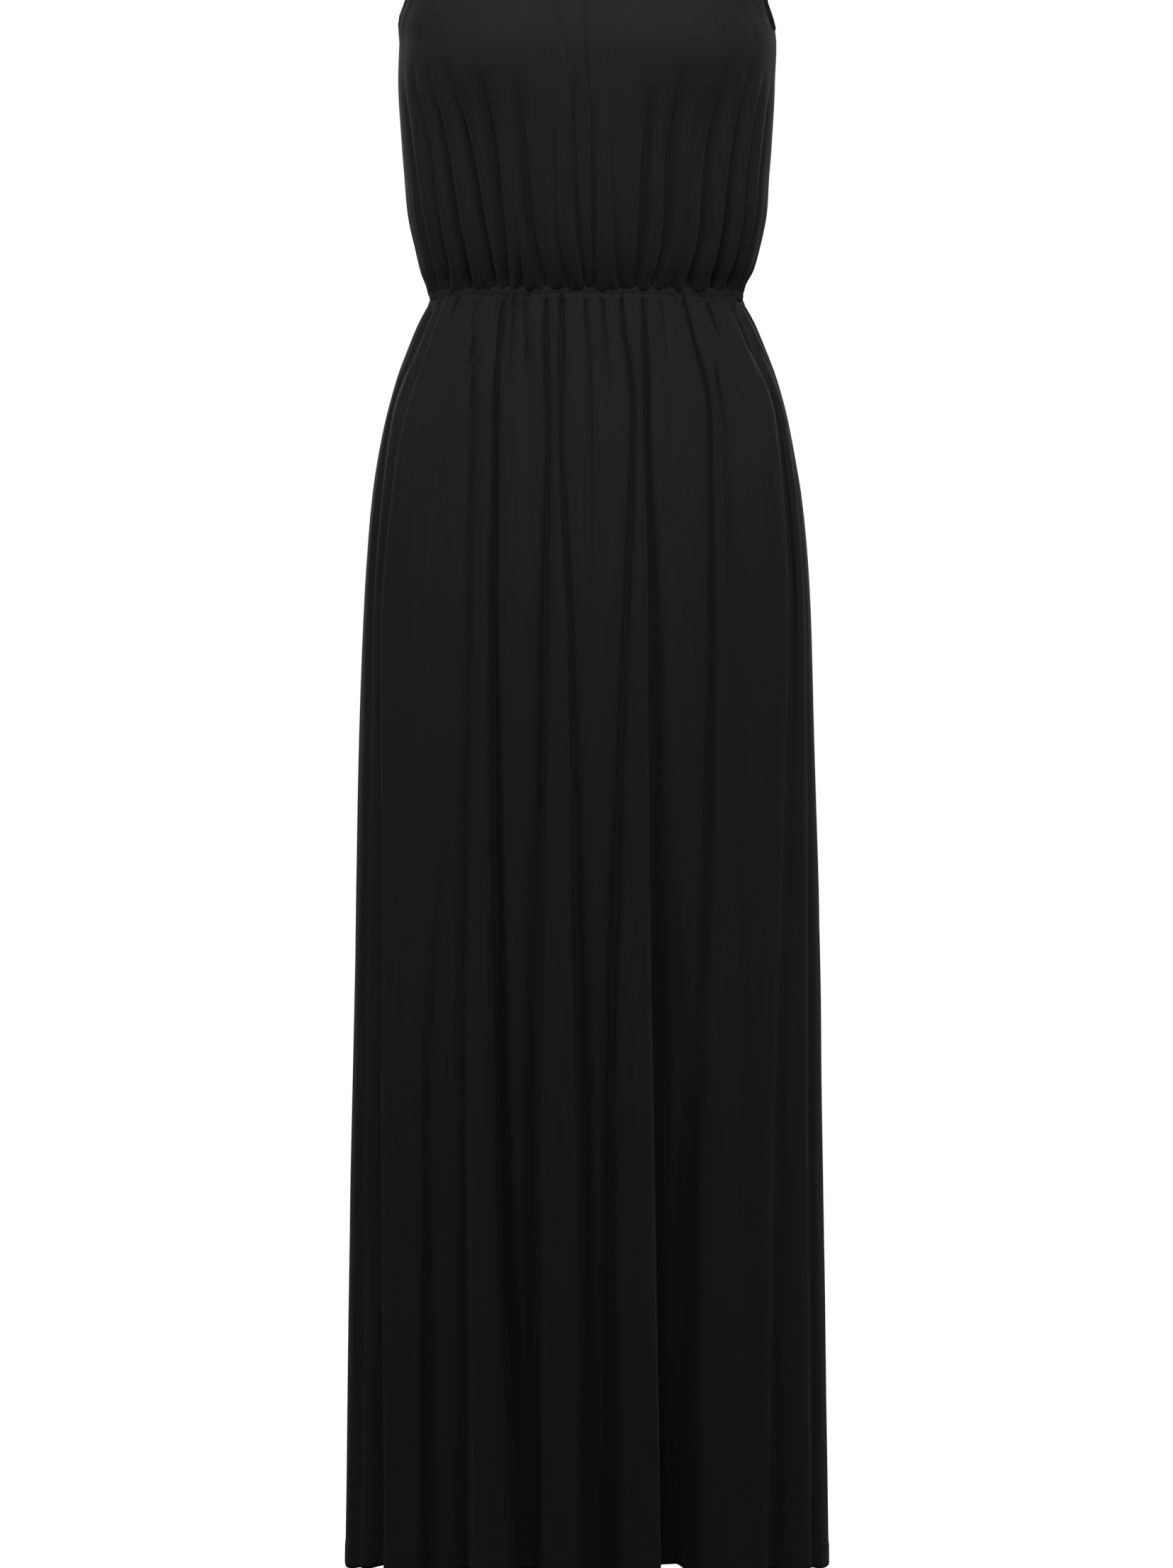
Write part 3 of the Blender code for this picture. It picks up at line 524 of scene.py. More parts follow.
def soft_noise(across, down, cell_across, cell_down, seed):
    """Smooth random values from -1 to 1 over a sheet, in cells of the given sizes."""
    random = np.random.default_rng(seed)
    a = (across - across.min()) / cell_across
    d = (down - down.min()) / cell_down
    table = random.uniform(-1, 1, (int(a.max()) + 3, int(d.max()) + 3))
    i = a.astype(int)
    j = d.astype(int)
    u = ease(a - i)
    v = ease(d - j)
    low = table[i, j] * (1 - u) + table[i + 1, j] * u
    high = table[i, j + 1] * (1 - u) + table[i + 1, j + 1] * u
    return low * (1 - v) + high * v


def grid_normals(points, facing):
    """Unit normals of a sheet of points, pointing out of the dress."""
    normals = np.cross(np.gradient(points, axis=1), np.gradient(points, axis=0)) * -facing
    return normals / np.maximum(np.linalg.norm(normals, axis=2, keepdims=True), TINY)


Pucker = namedtuple("Pucker", "place depth width up down")


def waist_puckers(seed):
    """Small gathers of one panel: the place is a share of its width at the waist, the rest is in metres."""
    random = np.random.default_rng(seed)
    puckers = []
    for i in range(PUCKERS):
        place = (i + 0.5 + random.uniform(-PUCKER_SHIFT, PUCKER_SHIFT)) / PUCKERS
        depth = random.uniform(*PUCKER_DEPTHS)
        width = random.uniform(*PUCKER_WIDTHS)
        up = random.uniform(*(SHORT_UPS if random.random() < SHORT_SHARES[0] else LONG_UPS))
        down = random.uniform(*(SHORT_DOWNS if random.random() < SHORT_SHARES[1] else LONG_DOWNS))
        puckers.append(Pucker(place, depth, width, up, down))
    return puckers


def furrow(away, rim, reach):
    """The section of a crease, 1 deep in its middle, with a soft rim on both sides. away is in its widths."""
    return (1 + rim) * np.exp(-(away**2)) - rim * np.exp(-((away / reach) ** 2))


def pucker_offset(shares, lengths, width, puckers, which):
    """How far the small gathers move a sheet outwards. lengths are from the waist seam, one for each row."""
    shares = np.broadcast_to(shares, (len(lengths), shares.shape[-1]))
    total = np.zeros(shares.shape)
    for pucker in puckers:
        along = np.exp(-((lengths / getattr(pucker, which)) ** PUCKER_FADE))
        near = along > PUCKER_LEAST
        away = (shares[near] - pucker.place) * width / pucker.width
        total[near] -= pucker.depth * along[near, None] * furrow(away, *PUCKER_RIM)
    return total


def gather_streaks(across, from_waist, seed):
    """The faint streaks near the waist, at lengths from its seam."""
    noise = soft_noise(across, from_waist, GATHER_STREAK, GATHER_STREAK_LENGTH, seed)
    return GATHER_STREAK_DEPTH * noise * np.exp(-np.maximum(from_waist, 0.0) / GATHER_STREAK_LENGTH)


def seam_dip(distance):
    """The dip of the cloth into a seam, at a distance from it."""
    return -SEAM_TUCK * np.exp(-((distance / SEAM_TUCK_WIDTH) ** 2))


def under_casing(length):
    """The dip of a panel's edge behind the waist casing, where lengths from the waist seam are negative."""
    return -UNDER_CASING * np.clip(-length / CASING_REACH, 0.0, 1.0)


def turned_edge(distance, turn):
    """The step where an edge is turned under, with a shallow dent along its stitches."""
    step = ease((turn - distance) / TURN_STEP + 0.5)
    dent = TURN_DENT * np.exp(-(((distance - turn + STITCH_INSET) / TURN_ROUND) ** 2))
    rim = np.exp(-((distance / TURN_ROUND) ** 2))
    return TURN_HEIGHT * (step - dent - rim)


def nearest_distance(points, line):
    """The distance from every point of a sheet to the nearest point of a line."""
    flat = points.reshape(-1, 3)
    nearest = np.full(len(flat), np.inf)
    for start in range(0, len(line), BATCH):
        part = line[start : start + BATCH]
        gap = np.linalg.norm(flat[:, None, :] - part[None, :, :], axis=2)
        nearest = np.minimum(nearest, gap.min(axis=1))
    return nearest.reshape(points.shape[:2])


def crease_offset(points, creases):
    """How far the single creases move a sheet outwards."""
    x = points[:, :, 0]
    z = points[:, :, 2]
    total = np.zeros(x.shape)
    for crease in creases:
        down = (crease.z_top - z) / (crease.z_top - crease.z_bottom)
        centre = crease.x_top + (crease.x_bottom - crease.x_top) * down
        fade = ease(down / CREASE_START + 0.5) * ease((1 - down) / CREASE_END)
        total -= crease.depth * fade * furrow((x - centre) / crease.width, *CREASE_RIM)
    return total


def side_crease_offset(points):
    """How far the long creases beside the side seams move the front of the skirt outwards."""
    x = points[:, :, 0]
    z = points[:, :, 2]
    total = np.zeros(x.shape)
    for crease in SIDE_CREASES:
        away = (x - curve(z, SKIRT_FOLD_HEIGHTS, crease[:5])) / crease.width
        total -= crease.depth * furrow(away, *SIDE_CREASE_RIM)
    return total * ease((z - SIDE_CREASE_END) / SIDE_CREASE_FADE)


def fullness_offset(points, places):
    """How far the fuller places move a sheet outwards."""
    total = np.zeros(points.shape[:2])
    for place in places:
        aside = (points[:, :, 0] - place.x) * math.copysign(1.0, place.x)
        aside /= np.where(aside > 0, place.outside, place.inside)
        above = points[:, :, 2] - place.height
        level = above / np.where(above > 0, place.above, place.below)
        total += place.depth * np.exp(-(aside**2) - level**2)
    return total


def added(name, data):
    """A new object in the scene."""
    made = bpy.data.objects.new(name, data)
    bpy.context.scene.collection.objects.link(made)
    return made


def mesh_object(name, verts, faces):
    """A new object with a smooth mesh."""
    mesh = bpy.data.meshes.new(name)
    mesh.from_pydata(verts, [], faces)
    mesh.shade_smooth()
    return added(name, mesh)


def sheet_object(name, points, u, v, facing_out, closed=False):
    """A thin shell on a grid of points, with a map named cloth that holds lengths of cloth in metres."""
    rows, columns = points.shape[:2]
    across = columns if closed else columns - 1
    r, c = np.meshgrid(np.arange(rows - 1), np.arange(across), indexing="ij")
    corners = ((r, c), (r, c + 1), (r + 1, c + 1), (r + 1, c))
    if not facing_out:
        corners = corners[::-1]
    faces = np.stack([i * columns + j % columns for i, j in corners], axis=-1).reshape(-1, 4)
    cloth = np.stack([np.stack([u[i, j], v[i, j]], axis=-1) for i, j in corners], axis=2)
    piece = mesh_object(name, points.reshape(-1, 3).tolist(), faces.tolist())
    piece.data.uv_layers.new(name="cloth").uv.foreach_set("vector", cloth.astype(np.float32).ravel())
    wall = piece.modifiers.new("wall", "SOLIDIFY")
    wall.thickness = WALL
    wall.offset = -1.0
    wall.material_offset = 1
    return piece


def cloth_lengths(points):
    """Lengths of cloth across and up a sheet, for its map."""
    across = np.linalg.norm(np.diff(points, axis=1), axis=2)
    up = np.linalg.norm(np.diff(points, axis=0), axis=2)
    rows, columns = points.shape[:2]
    u = np.zeros((rows, columns))
    v = np.zeros((rows, columns))
    u[:, 1:] = np.cumsum(across, axis=1)
    u = np.broadcast_to(np.median(u[:, -1]) * np.linspace(0, 1, columns), (rows, columns))
    v[1:] = np.cumsum(up, axis=0)
    return u, np.broadcast_to(np.median(v, axis=1)[:, None], (rows, columns))


Panel = namedtuple("Panel", "piece points normals")


def outline_shift(points):
    """How far points move sideways to give the dress its slightly uneven outline."""
    x = points[:, :, 0]
    height = points[:, :, 2]
    knots, lefts, rights = zip(*OUTLINE)
    out = np.where(x < 0, -curve(height, knots, lefts), curve(height, knots, rights))
    return ease(np.abs(x) / OUTLINE_REACH) * out


def panel_from(name, points, fine, facing):
    """Makes a panel of its smooth form and the fine offsets on it."""
    points = points + grid_normals(points, facing) * fine[:, :, None]
    points[:, :, 0] += outline_shift(points)
    points[:, :, 1] -= facing * SEAM_LAP
    u, v = cloth_lengths(points)
    piece = sheet_object(name, points, u, v, facing_out=facing == FRONT)
    return Panel(piece, points, grid_normals(points, facing))


def hollow_values(heights, hollows):
    """The edges, depths and walls of the hollows at each height."""
    lefts = curves(heights, HOLLOW_HEIGHTS, [hollow[0:6:2] for hollow in hollows])
    rights = curves(heights, HOLLOW_HEIGHTS, [hollow[1:6:2] for hollow in hollows])
    depths = curves(heights, (HOLLOW_START, *HOLLOW_HEIGHTS), [(0.0, *hollow[6:9]) for hollow in hollows])
    return np.stack([lefts, rights], axis=-1), depths, [hollow[9:] for hollow in hollows]


def even_columns(rows, places):
    """Spreads columns evenly over the folded cloth of each row, the same ones in the bottoms of its folds."""
    marks = []
    cloths = []
    for r, (along, x, y) in enumerate(rows):
        cloth = np.concatenate([[0.0], np.cumsum(np.hypot(np.diff(x), np.diff(y)))])
        bottoms = np.interp(places[:, r], x, cloth)
        marks.append(np.concatenate([[0.0], bottoms, [cloth[-1]]]))
        cloths.append(cloth)
    anchors = np.mean([mark / mark[-1] for mark in marks], axis=0)
    shares = np.linspace(0, 1, SKIRT_COLUMNS)
    spread_out = [np.interp(shares, anchors, mark) for mark in marks]
    return [np.interp(at, cloth, along) for at, cloth, (along, _, _) in zip(spread_out, cloths, rows)]


def skirt_panel(name, facing, folds, hollows, puckers, seed):
    """A skirt panel: its folds, the small gathers under the waist, faint streaks, side seams and hem."""
    lengths = spread(SKIRT_SPANS)[::-1]
    heights = SKIRT_TOP + (HEM - SKIRT_TOP) * lengths / SKIRT_SPANS[-1][0]
    knots, halves, fronts, backs = zip(*SKIRT)
    half_widths = curve(heights, knots, halves)
    reaches = curve(heights, knots, fronts if facing == FRONT else backs)
    places = curves(heights, SKIRT_FOLD_HEIGHTS, [fold[:5] for fold in folds])
    depths = curves(heights, SKIRT_DEPTH_HEIGHTS, [fold[5:9] for fold in folds])
    depths *= WAIST_SHARE + (1 - WAIST_SHARE) * ease(lengths / WAIST_RISE)
    from_seam = np.maximum(lengths, 0.0)
    sizes = curve(heights, FOLD_WIDTH_HEIGHTS, FOLD_WIDTH_SHARES)
    lefts = np.array([fold.left for fold in folds])
    rights = np.array([fold.right for fold in folds])
    sharpness = curve(heights, FOLD_SHARPNESS_HEIGHTS, FOLD_SHARPNESS)
    edges, hollow_depths, walls = hollow_values(heights, hollows)

    def folded(r, along):
        hollows_here = (edges[:, r], hollow_depths[:, r], walls)
        return folded_row(
            along, half_widths[r], reaches[r], facing, places[:, r], depths[:, r],
            sizes[r] * lefts, sizes[r] * rights, sharpness[r], hollows_here,
        )

    rings = [half_ring(h, f)[1] for h, f in zip(half_widths, reaches)]
    fine_rows = [(along, *folded(r, along)[:2]) for r, along in enumerate(rings)]
    columns = even_columns(fine_rows, places)
    points = np.zeros((len(heights), SKIRT_COLUMNS, 3))
    shares = np.zeros((len(heights), SKIRT_COLUMNS))
    for r, height in enumerate(heights):
        x, y, offset, _ = folded(r, columns[r])
        lift = HEM_LIFT * (lengths[r] / SKIRT_SPANS[-1][0]) ** HEM_LIFT_POWER * np.maximum(-offset, 0.0)
        points[r] = np.stack([x, y, height + lift], axis=-1)
        shares[r] = columns[r] / rings[r][-1]
    waist = rings[-1][-1]
    widths = np.array([ring[-1] for ring in rings])
    seams = np.minimum(shares, 1 - shares) * widths[:, None]
    across = shares * waist
    down = np.broadcast_to(lengths[:, None], points.shape[:2])
    fine = STREAK_DEPTH * soft_noise(across, down, STREAK_ACROSS, STREAK_DOWN, seed)
    fine += 0.5 * STREAK_DEPTH * soft_noise(across, down, STREAK_ACROSS / 3, STREAK_DOWN / 2, seed + 1)
    swell = soft_noise(across, down, SWELL_ACROSS, SWELL_DOWN, seed + 3)
    fine += SWELL_DEPTH * swell * ease(down / SWELL_DOWN)
    fine += pucker_offset(shares, from_seam, waist, puckers, "down")
    fine += gather_streaks(across, down, seed + 5)
    fine *= ease(seams / SEAM_STILL)
    fine += seam_dip(seams) + under_casing(down) + SKIRT_LIP * np.exp(-((down / SKIRT_LIP_HEIGHT) ** 2))
    fine += turned_edge(np.broadcast_to(lengths.max() - down, points.shape[:2]), HEM_TURN)
    if facing == FRONT:
        fine += side_crease_offset(points) + fullness_offset(points, HIPS)
    return panel_from(name, points, fine, facing)


def bodice_values(up):
    """The bodice's section at lengths up the cloth: height, half width, seam_y, front, back and fall."""
    ups, *columns = zip(*BODICE)
    return Girth(up, *curves(up, ups, columns))


def up_at(x, height):
    """The length up the cloth at which the bodice, x from its centre line, has a height."""
    ups = np.linspace(0.0, BODICE[-1].up, UP_STEPS)
    girth = bodice_values(ups)
    outside = max(abs(x) - NECK_HALF_WIDTH, 0.0)
    return float(np.interp(height, girth.height - girth.fall * outside, ups))


def neck_end(angle, corner, facing):
    """Where a column that starts at this angle ends: its angle and its length up the cloth."""
    top = BODICE[-1]
    neck_point = float(angle_at(NECK_HALF_WIDTH, top.half_width))
    if abs(angle) >= corner:
        share = (abs(angle) - corner) / (SIDE - corner)
        return math.copysign(neck_point + share * (SIDE - neck_point), angle), top.up
    low = FRONT_NECK_HEIGHT if facing == FRONT else BACK_NECK_HEIGHT
    turn = SIDE * angle / corner
    x = NECK_HALF_WIDTH * math.copysign(abs(math.sin(turn)) ** (2 / NECK_POWER), angle)
    up = up_at(x, low * math.cos(turn) ** (2 / NECK_POWER))
    return float(angle_at(x, float(bodice_values(up).half_width))), up


def armhole_angles(angles, heights, half_widths, facing):
    """The angle of the armhole's edge at each point's height, or of the side seam below it."""
    knots, rights, lefts, backs = zip(*ARMHOLE)
    if facing == BACK:
        rights = lefts = backs
    outs = np.where(angles > 0, curve(heights, knots, rights), curve(heights, knots, lefts))
    return np.where(heights <= ARMHOLE[0].height, SIDE, angle_at(outs, half_widths))


def top_row(share, starts, end_angles, end_ups, facing):
    """One row of the plain part of a bodice panel, from the bust line to the neck, shoulders and armholes."""
    girth = bodice_values(BUST_LINE + share * (end_ups - BUST_LINE))
    angle = starts + share * (end_angles - starts)
    outside = np.maximum(np.abs(girth.half_width * np.sin(angle)) - NECK_HALF_WIDTH, 0.0)
    edge = armhole_angles(angle, girth.height - girth.fall * outside, girth.half_width, facing)
    part = (np.abs(angle) - SQUEEZE_ANGLE) / (SIDE - SQUEEZE_ANGLE)
    squeezed = np.sign(angle) * (SQUEEZE_ANGLE + part * (edge - SQUEEZE_ANGLE))
    angle = np.where(part > 0, squeezed, angle)
    x, y = section_xy(angle, girth.half_width, girth.front if facing == FRONT else girth.back, facing)
    drop = girth.fall * np.maximum(np.abs(x) - NECK_HALF_WIDTH, 0.0)
    return np.stack([x, y + girth.seam_y, girth.height - drop], axis=-1)


def gathered_rows(ups, shares, folds, facing):
    """Rows of the gathered part of a bodice panel, and the angles of the last one."""
    girth = bodice_values(ups)
    heights = girth.height + np.minimum(ups, 0.0)
    reaches = girth.front if facing == FRONT else girth.back
    places = curves(ups, BODICE_FOLD_LEVELS, [fold[:4] for fold in folds])
    full = BODICE_DEPTH_LEVELS[-1]
    depths = []
    for fold in folds:
        deep = (*fold[4:7], RIBS_TO_BUST * fold.deep_ribs, 0.0)
        depths.append(curve(ups * full / fold.top, BODICE_DEPTH_LEVELS, deep))
    depths = np.array(depths)
    sizes = curve(ups, GATHER_WIDTH_LEVELS, GATHER_WIDTH_SHARES)
    lefts = np.array([fold.left for fold in folds])
    rights = np.array([fold.right for fold in folds])
    rows = []
    for r in range(len(ups)):
        along = shares * half_ring(girth.half_width[r], reaches[r])[1][-1]
        x, y, _, angles = folded_row(
            along, girth.half_width[r], reaches[r], facing, places[:, r], depths[:, r],
            sizes[r] * lefts, sizes[r] * rights, GATHER_SHARPNESS,
        )
        rows.append(np.stack([x, y + girth.seam_y[r], np.full_like(x, heights[r])], axis=-1))
    return rows, angles


def bodice_panel(name, facing, folds, creases, puckers, seed):
    """A bodice panel: gathers from the waist to the bust, and above them a plain part with turned edges."""
    shares = np.linspace(0, 1, BODICE_COLUMNS)
    ups = spread(BODICE_SPANS)
    rows, angles = gathered_rows(ups, shares, folds, facing)
    corner = float(np.abs(angles)[np.argmin(np.abs(np.abs(angles) - NECK_ANGLE))])
    ends = [neck_end(float(angle), corner, facing) for angle in angles]
    end_angles = np.array([end[0] for end in ends])
    end_ups = np.array([end[1] for end in ends])
    for share in spread(TOP_SPANS)[1:]:
        rows.append(top_row(share, angles, end_angles, end_ups, facing))
    points = np.array(rows)
    lengths = np.cumsum(np.linalg.norm(np.diff(points, axis=0), axis=2).mean(axis=1))
    lengths = np.concatenate([[0.0], lengths]) + BODICE_SPANS[0][0]
    waist = half_ring(BODICE[0].half_width, BODICE[0].front if facing == FRONT else BODICE[0].back)[1][-1]
    across = np.broadcast_to(shares * waist, points.shape[:2])
    up = np.broadcast_to(lengths[:, None], points.shape[:2])
    fine = pucker_offset(shares, np.maximum(lengths, 0.0), waist, puckers, "up")
    fine += STREAK_DEPTH * soft_noise(across, up, STREAK_ACROSS, STREAK_DOWN, seed)
    fine += gather_streaks(across, up, seed + 5)
    fine *= ease(np.minimum(across, waist - across) / SEAM_STILL)
    fine += crease_offset(points, creases)
    if facing == FRONT:
        fine += fullness_offset(points, BUST)
    lobes = 0.5 + 0.5 * soft_noise(across, up, LOBE_WIDTH, LOBE_LENGTH, seed + 2)
    points[:, :, 2] -= (OVERHANG + LOBE_DROP * lobes) * np.exp(-((up / LOBE_HEIGHT) ** 2))
    roll = np.exp(-((np.maximum(up, 0.0) / OVERHANG_FADE) ** 2))
    roll *= ease(1 - np.maximum(-up, 0.0) / CASING_REACH)
    middle = 1 - (points[:, :, 0] / BODICE[0].half_width) ** 2
    fine += (OVERHANG_OUT * np.maximum(middle, OVERHANG_SIDES) + LOBE_OUT * lobes) * roll + under_casing(up)
    in_neck = np.abs(end_angles) <= abs(end_angles[np.argmin(np.abs(np.abs(angles) - corner))])
    fine += bodice_edges(points, in_neck, BACK_FLARE if facing == BACK else 0.0)
    return panel_from(name, points, fine, facing)


def bodice_edges(points, in_neck, flare):
    """Offsets at a bodice panel's seams and turned edges. flare is how far its right armhole stands out."""
    under = points[:, 0, 2] <= ARMHOLE[0].height
    fine = np.zeros(points.shape[:2])
    for side, stand_out in ((0, 0.0), (-1, flare)):
        fine += seam_dip(nearest_distance(points, points[under, side]))
        from_edge = nearest_distance(points, points[~under, side])
        fine += turned_edge(from_edge, EDGE_TURN) + stand_out * ease(1 - from_edge / BACK_FLARE_WIDTH)
    fine += turned_edge(nearest_distance(points, points[-1, in_neck]), EDGE_TURN)
    fine += seam_dip(nearest_distance(points, points[-1, ~in_neck]))
    return fine


def elastic_casing(name, front_puckers, back_puckers):
    """The narrow casing round the waist, ruched by the elastic in it."""
    waist = BODICE[0]
    turns = np.linspace(-math.pi, math.pi, CASING_COLUMNS, endpoint=False)
    points = np.zeros((CASING_ROWS, CASING_COLUMNS, 3))
    facing = np.where(np.abs(turns) <= SIDE, FRONT, BACK)
    angle = np.where(facing == FRONT, turns, np.sign(turns) * (math.pi - np.abs(turns)))
    reach = np.where(facing == FRONT, waist.front, waist.back)
    groove = np.zeros(CASING_COLUMNS)
    for side, reach_there, puckers in ((FRONT, waist.front, front_puckers), (BACK, waist.back, back_puckers)):
        ring, lengths = half_ring(waist.half_width, reach_there)
        along = np.interp(angle, ring, lengths)
        for pucker in puckers:
            away = (along - pucker.place * lengths[-1]) / (RUCHE * pucker.width)
            groove -= np.where(facing == side, RUCHE * pucker.depth * np.exp(-(away**2)), 0.0)
    tall = CASING_TOP - CASING_BOTTOM
    for r, share in enumerate(np.linspace(0, 1, CASING_ROWS)):
        out = float(np.interp(share, *CASING_PROFILE)) + groove * (1.0 - RUCHE_FADE * share)
        x, y = section_xy(angle, waist.half_width + out, reach + out, 1)
        points[r] = np.stack([x, y * facing, np.full_like(x, CASING_BOTTOM + share * tall)], axis=-1)
    girth = np.linalg.norm(np.diff(points[0], axis=0), axis=1).sum()
    u = np.broadcast_to(np.linspace(0, girth, CASING_COLUMNS + 1), (CASING_ROWS, CASING_COLUMNS + 1))
    v = np.broadcast_to(np.linspace(0, tall, CASING_ROWS)[:, None], u.shape)
    return sheet_object(name, points, u, v, facing_out=True, closed=True)


def inset_line(points, normals, inset):
    """Points and normals at a length from the first point of each line of a sheet."""
    steps = np.linalg.norm(np.diff(points, axis=1), axis=2)
    lengths = np.concatenate([np.zeros((len(points), 1)), np.cumsum(steps, axis=1)], axis=1)
    after = np.clip((lengths < inset).sum(axis=1), 1, points.shape[1] - 1)
    line = np.arange(len(points))
    share = (inset - lengths[line, after - 1]) / (lengths[line, after] - lengths[line, after - 1])
    share = np.clip(share, 0, 1)[:, None]
    place = points[line, after - 1] * (1 - share) + points[line, after] * share
    normal = normals[line, after - 1] * (1 - share) + normals[line, after] * share
    return place, normal / np.linalg.norm(normal, axis=1, keepdims=True)


def stitch_places(place, normal):
    """Centres, directions and normals of stitches spaced evenly along a line."""
    lengths = np.concatenate([[0.0], np.cumsum(np.linalg.norm(np.diff(place, axis=0), axis=1))])
    starts = np.arange(STITCH_PITCH / 2, lengths[-1], STITCH_PITCH)

    def at(values, where):
        return np.stack([np.interp(where, lengths, values[:, k]) for k in range(3)], axis=1)

    ahead = at(place, starts + STITCH_LENGTH / 2) - at(place, starts - STITCH_LENGTH / 2)
    ahead /= np.linalg.norm(ahead, axis=1, keepdims=True)
    return at(place, starts), ahead, at(normal, starts)


def stitch_object(name, lines):
    """Short rounded threads along lines of stitches, as one mesh."""
    sides = STITCH_SIDES
    rings = len(STITCH_SECTIONS)
    verts = []
    faces = []
    for place, normal in lines:
        for centre, ahead, out in zip(*stitch_places(place, normal)):
            beside = np.cross(out, ahead)
            base = len(verts)
            for along, thick, lift in STITCH_SECTIONS:
                middle = centre + ahead * along * STITCH_LENGTH + out * lift * STITCH_RADIUS
                for k in range(sides):
                    turn = 2 * math.pi * k / sides
                    spoke = beside * math.cos(turn) + out * math.sin(turn)
                    verts.append(middle + spoke * thick * STITCH_RADIUS)
            for s in range(rings - 1):
                for k in range(sides):
                    a = base + s * sides + k
                    b = base + s * sides + (k + 1) % sides
                    faces.append((a, b, b + sides, a + sides))
            last = base + (rings - 1) * sides
            faces.append(tuple(range(base + sides - 1, base - 1, -1)))
            faces.append(tuple(range(last, last + sides)))
    return mesh_object(name, [tuple(map(float, v)) for v in verts], faces)


def hem_lines(panel):
    """Two lines of stitches above the hem of a skirt panel."""
    points = np.swapaxes(panel.points, 0, 1)
    normals = np.swapaxes(panel.normals, 0, 1)
    return [inset_line(points, normals, HEM_TURN - STITCH_INSET - row * TWIN_NEEDLES) for row in (0, 1)]


def edge_lines(panel):
    """Lines of stitches beside the neckline and armholes of a bodice panel."""
    inset = EDGE_TURN - STITCH_INSET
    points = np.swapaxes(panel.points, 0, 1)[:, ::-1]
    normals = np.swapaxes(panel.normals, 0, 1)[:, ::-1]
    neck = np.abs(panel.points[-1, :, 0]) <= NECK_HALF_WIDTH
    lines = [inset_line(points[neck], normals[neck], inset)]
    above = panel.points[:, 0, 2] > ARMHOLE[0].height
    for order in (slice(None), slice(None, None, -1)):
        lines.append(inset_line(panel.points[above][:, order], panel.normals[above][:, order], inset))
    return lines


def fill(shader_node, **sockets):
    """Sets unlinked inputs of a shader node by name."""
    for name, value in sockets.items():
        shader_node.inputs[name.replace("_", " ")].default_value = value


def node(tree, kind, **sockets):
    """A new shader node with its unlinked inputs set."""
    made = tree.nodes.new(kind)
    fill(made, **sockets)
    return made


def new_material(name):
    """A new material, its tree and its main shader."""
    material = bpy.data.materials.new(name)
    material.use_nodes = True
    tree = material.node_tree
    return material, tree, tree.nodes["Principled BSDF"]


def mix_tones(tree, shader, factor, dark, light):
    """Gives a shader a grey that goes from dark to light with a factor."""
    tone = tree.nodes.new("ShaderNodeMix")
    tone.data_type = "RGBA"
    fill(tone, A=(dark, dark, dark, 1), B=(light, light, light, 1))
    tree.links.new(factor, tone.inputs["Factor"])
    tree.links.new(tone.outputs["Result"], shader.inputs["Base Color"])


def jersey_material(name, dark, light):
    """Matt black jersey: fine knitted ribs, faint streaks along them and a soft nap."""
    material, tree, shader = new_material(name)
    link = tree.links.new
    fill(shader, Roughness=0.72, Specular_IOR_Level=0.08, Sheen_Weight=0.045, Sheen_Roughness=0.45)
    cloth = tree.nodes.new("ShaderNodeUVMap")
    cloth.uv_map = "cloth"
    along = node(tree, "ShaderNodeMapping", Scale=(1 / TONE_WIDTH, 1 / TONE_LENGTH, 1))
    streaks = node(tree, "ShaderNodeTexNoise", Scale=1.0, Detail=3.0, Roughness=0.6)
    link(cloth.outputs["UV"], along.inputs["Vector"])
    link(along.outputs["Vector"], streaks.inputs["Vector"])
    mix_tones(tree, shader, streaks.outputs["Fac"], dark, light)
    ribs = node(tree, "ShaderNodeTexWave", Scale=1.0, Distortion=0.6)
    ribs.bands_direction = "X"
    fine = node(tree, "ShaderNodeMapping", Scale=(WAVE_PERIOD / RIB_WIDTH, WAVE_PERIOD / STITCH_HEIGHT, 1))
    link(cloth.outputs["UV"], fine.inputs["Vector"])
    link(fine.outputs["Vector"], ribs.inputs["Vector"])
    nap = node(tree, "ShaderNodeTexNoise", Scale=1400.0, Detail=2.0, Roughness=0.6)
    link(cloth.outputs["UV"], nap.inputs["Vector"])
    heights = tree.nodes.new("ShaderNodeMath")
    heights.operation = "ADD"
    link(ribs.outputs["Fac"], heights.inputs[0])
    link(nap.outputs["Fac"], heights.inputs[1])
    bump = node(tree, "ShaderNodeBump", Strength=0.25, Distance=0.00008)
    link(heights.outputs["Value"], bump.inputs["Height"])
    link(bump.outputs["Normal"], shader.inputs["Normal"])
    return material


def thread_material(name):
    """Black sewing thread with a slight lustre."""
    material, tree, shader = new_material(name)
    fill(shader, Roughness=0.5, Specular_IOR_Level=0.10)
    twist = node(tree, "ShaderNodeTexNoise", Scale=1800.0, Detail=2.0)
    place = tree.nodes.new("ShaderNodeTexCoord")
    tree.links.new(place.outputs["Object"], twist.inputs["Vector"])
    mix_tones(tree, shader, twist.outputs["Fac"], 0.006, 0.016)
    return material


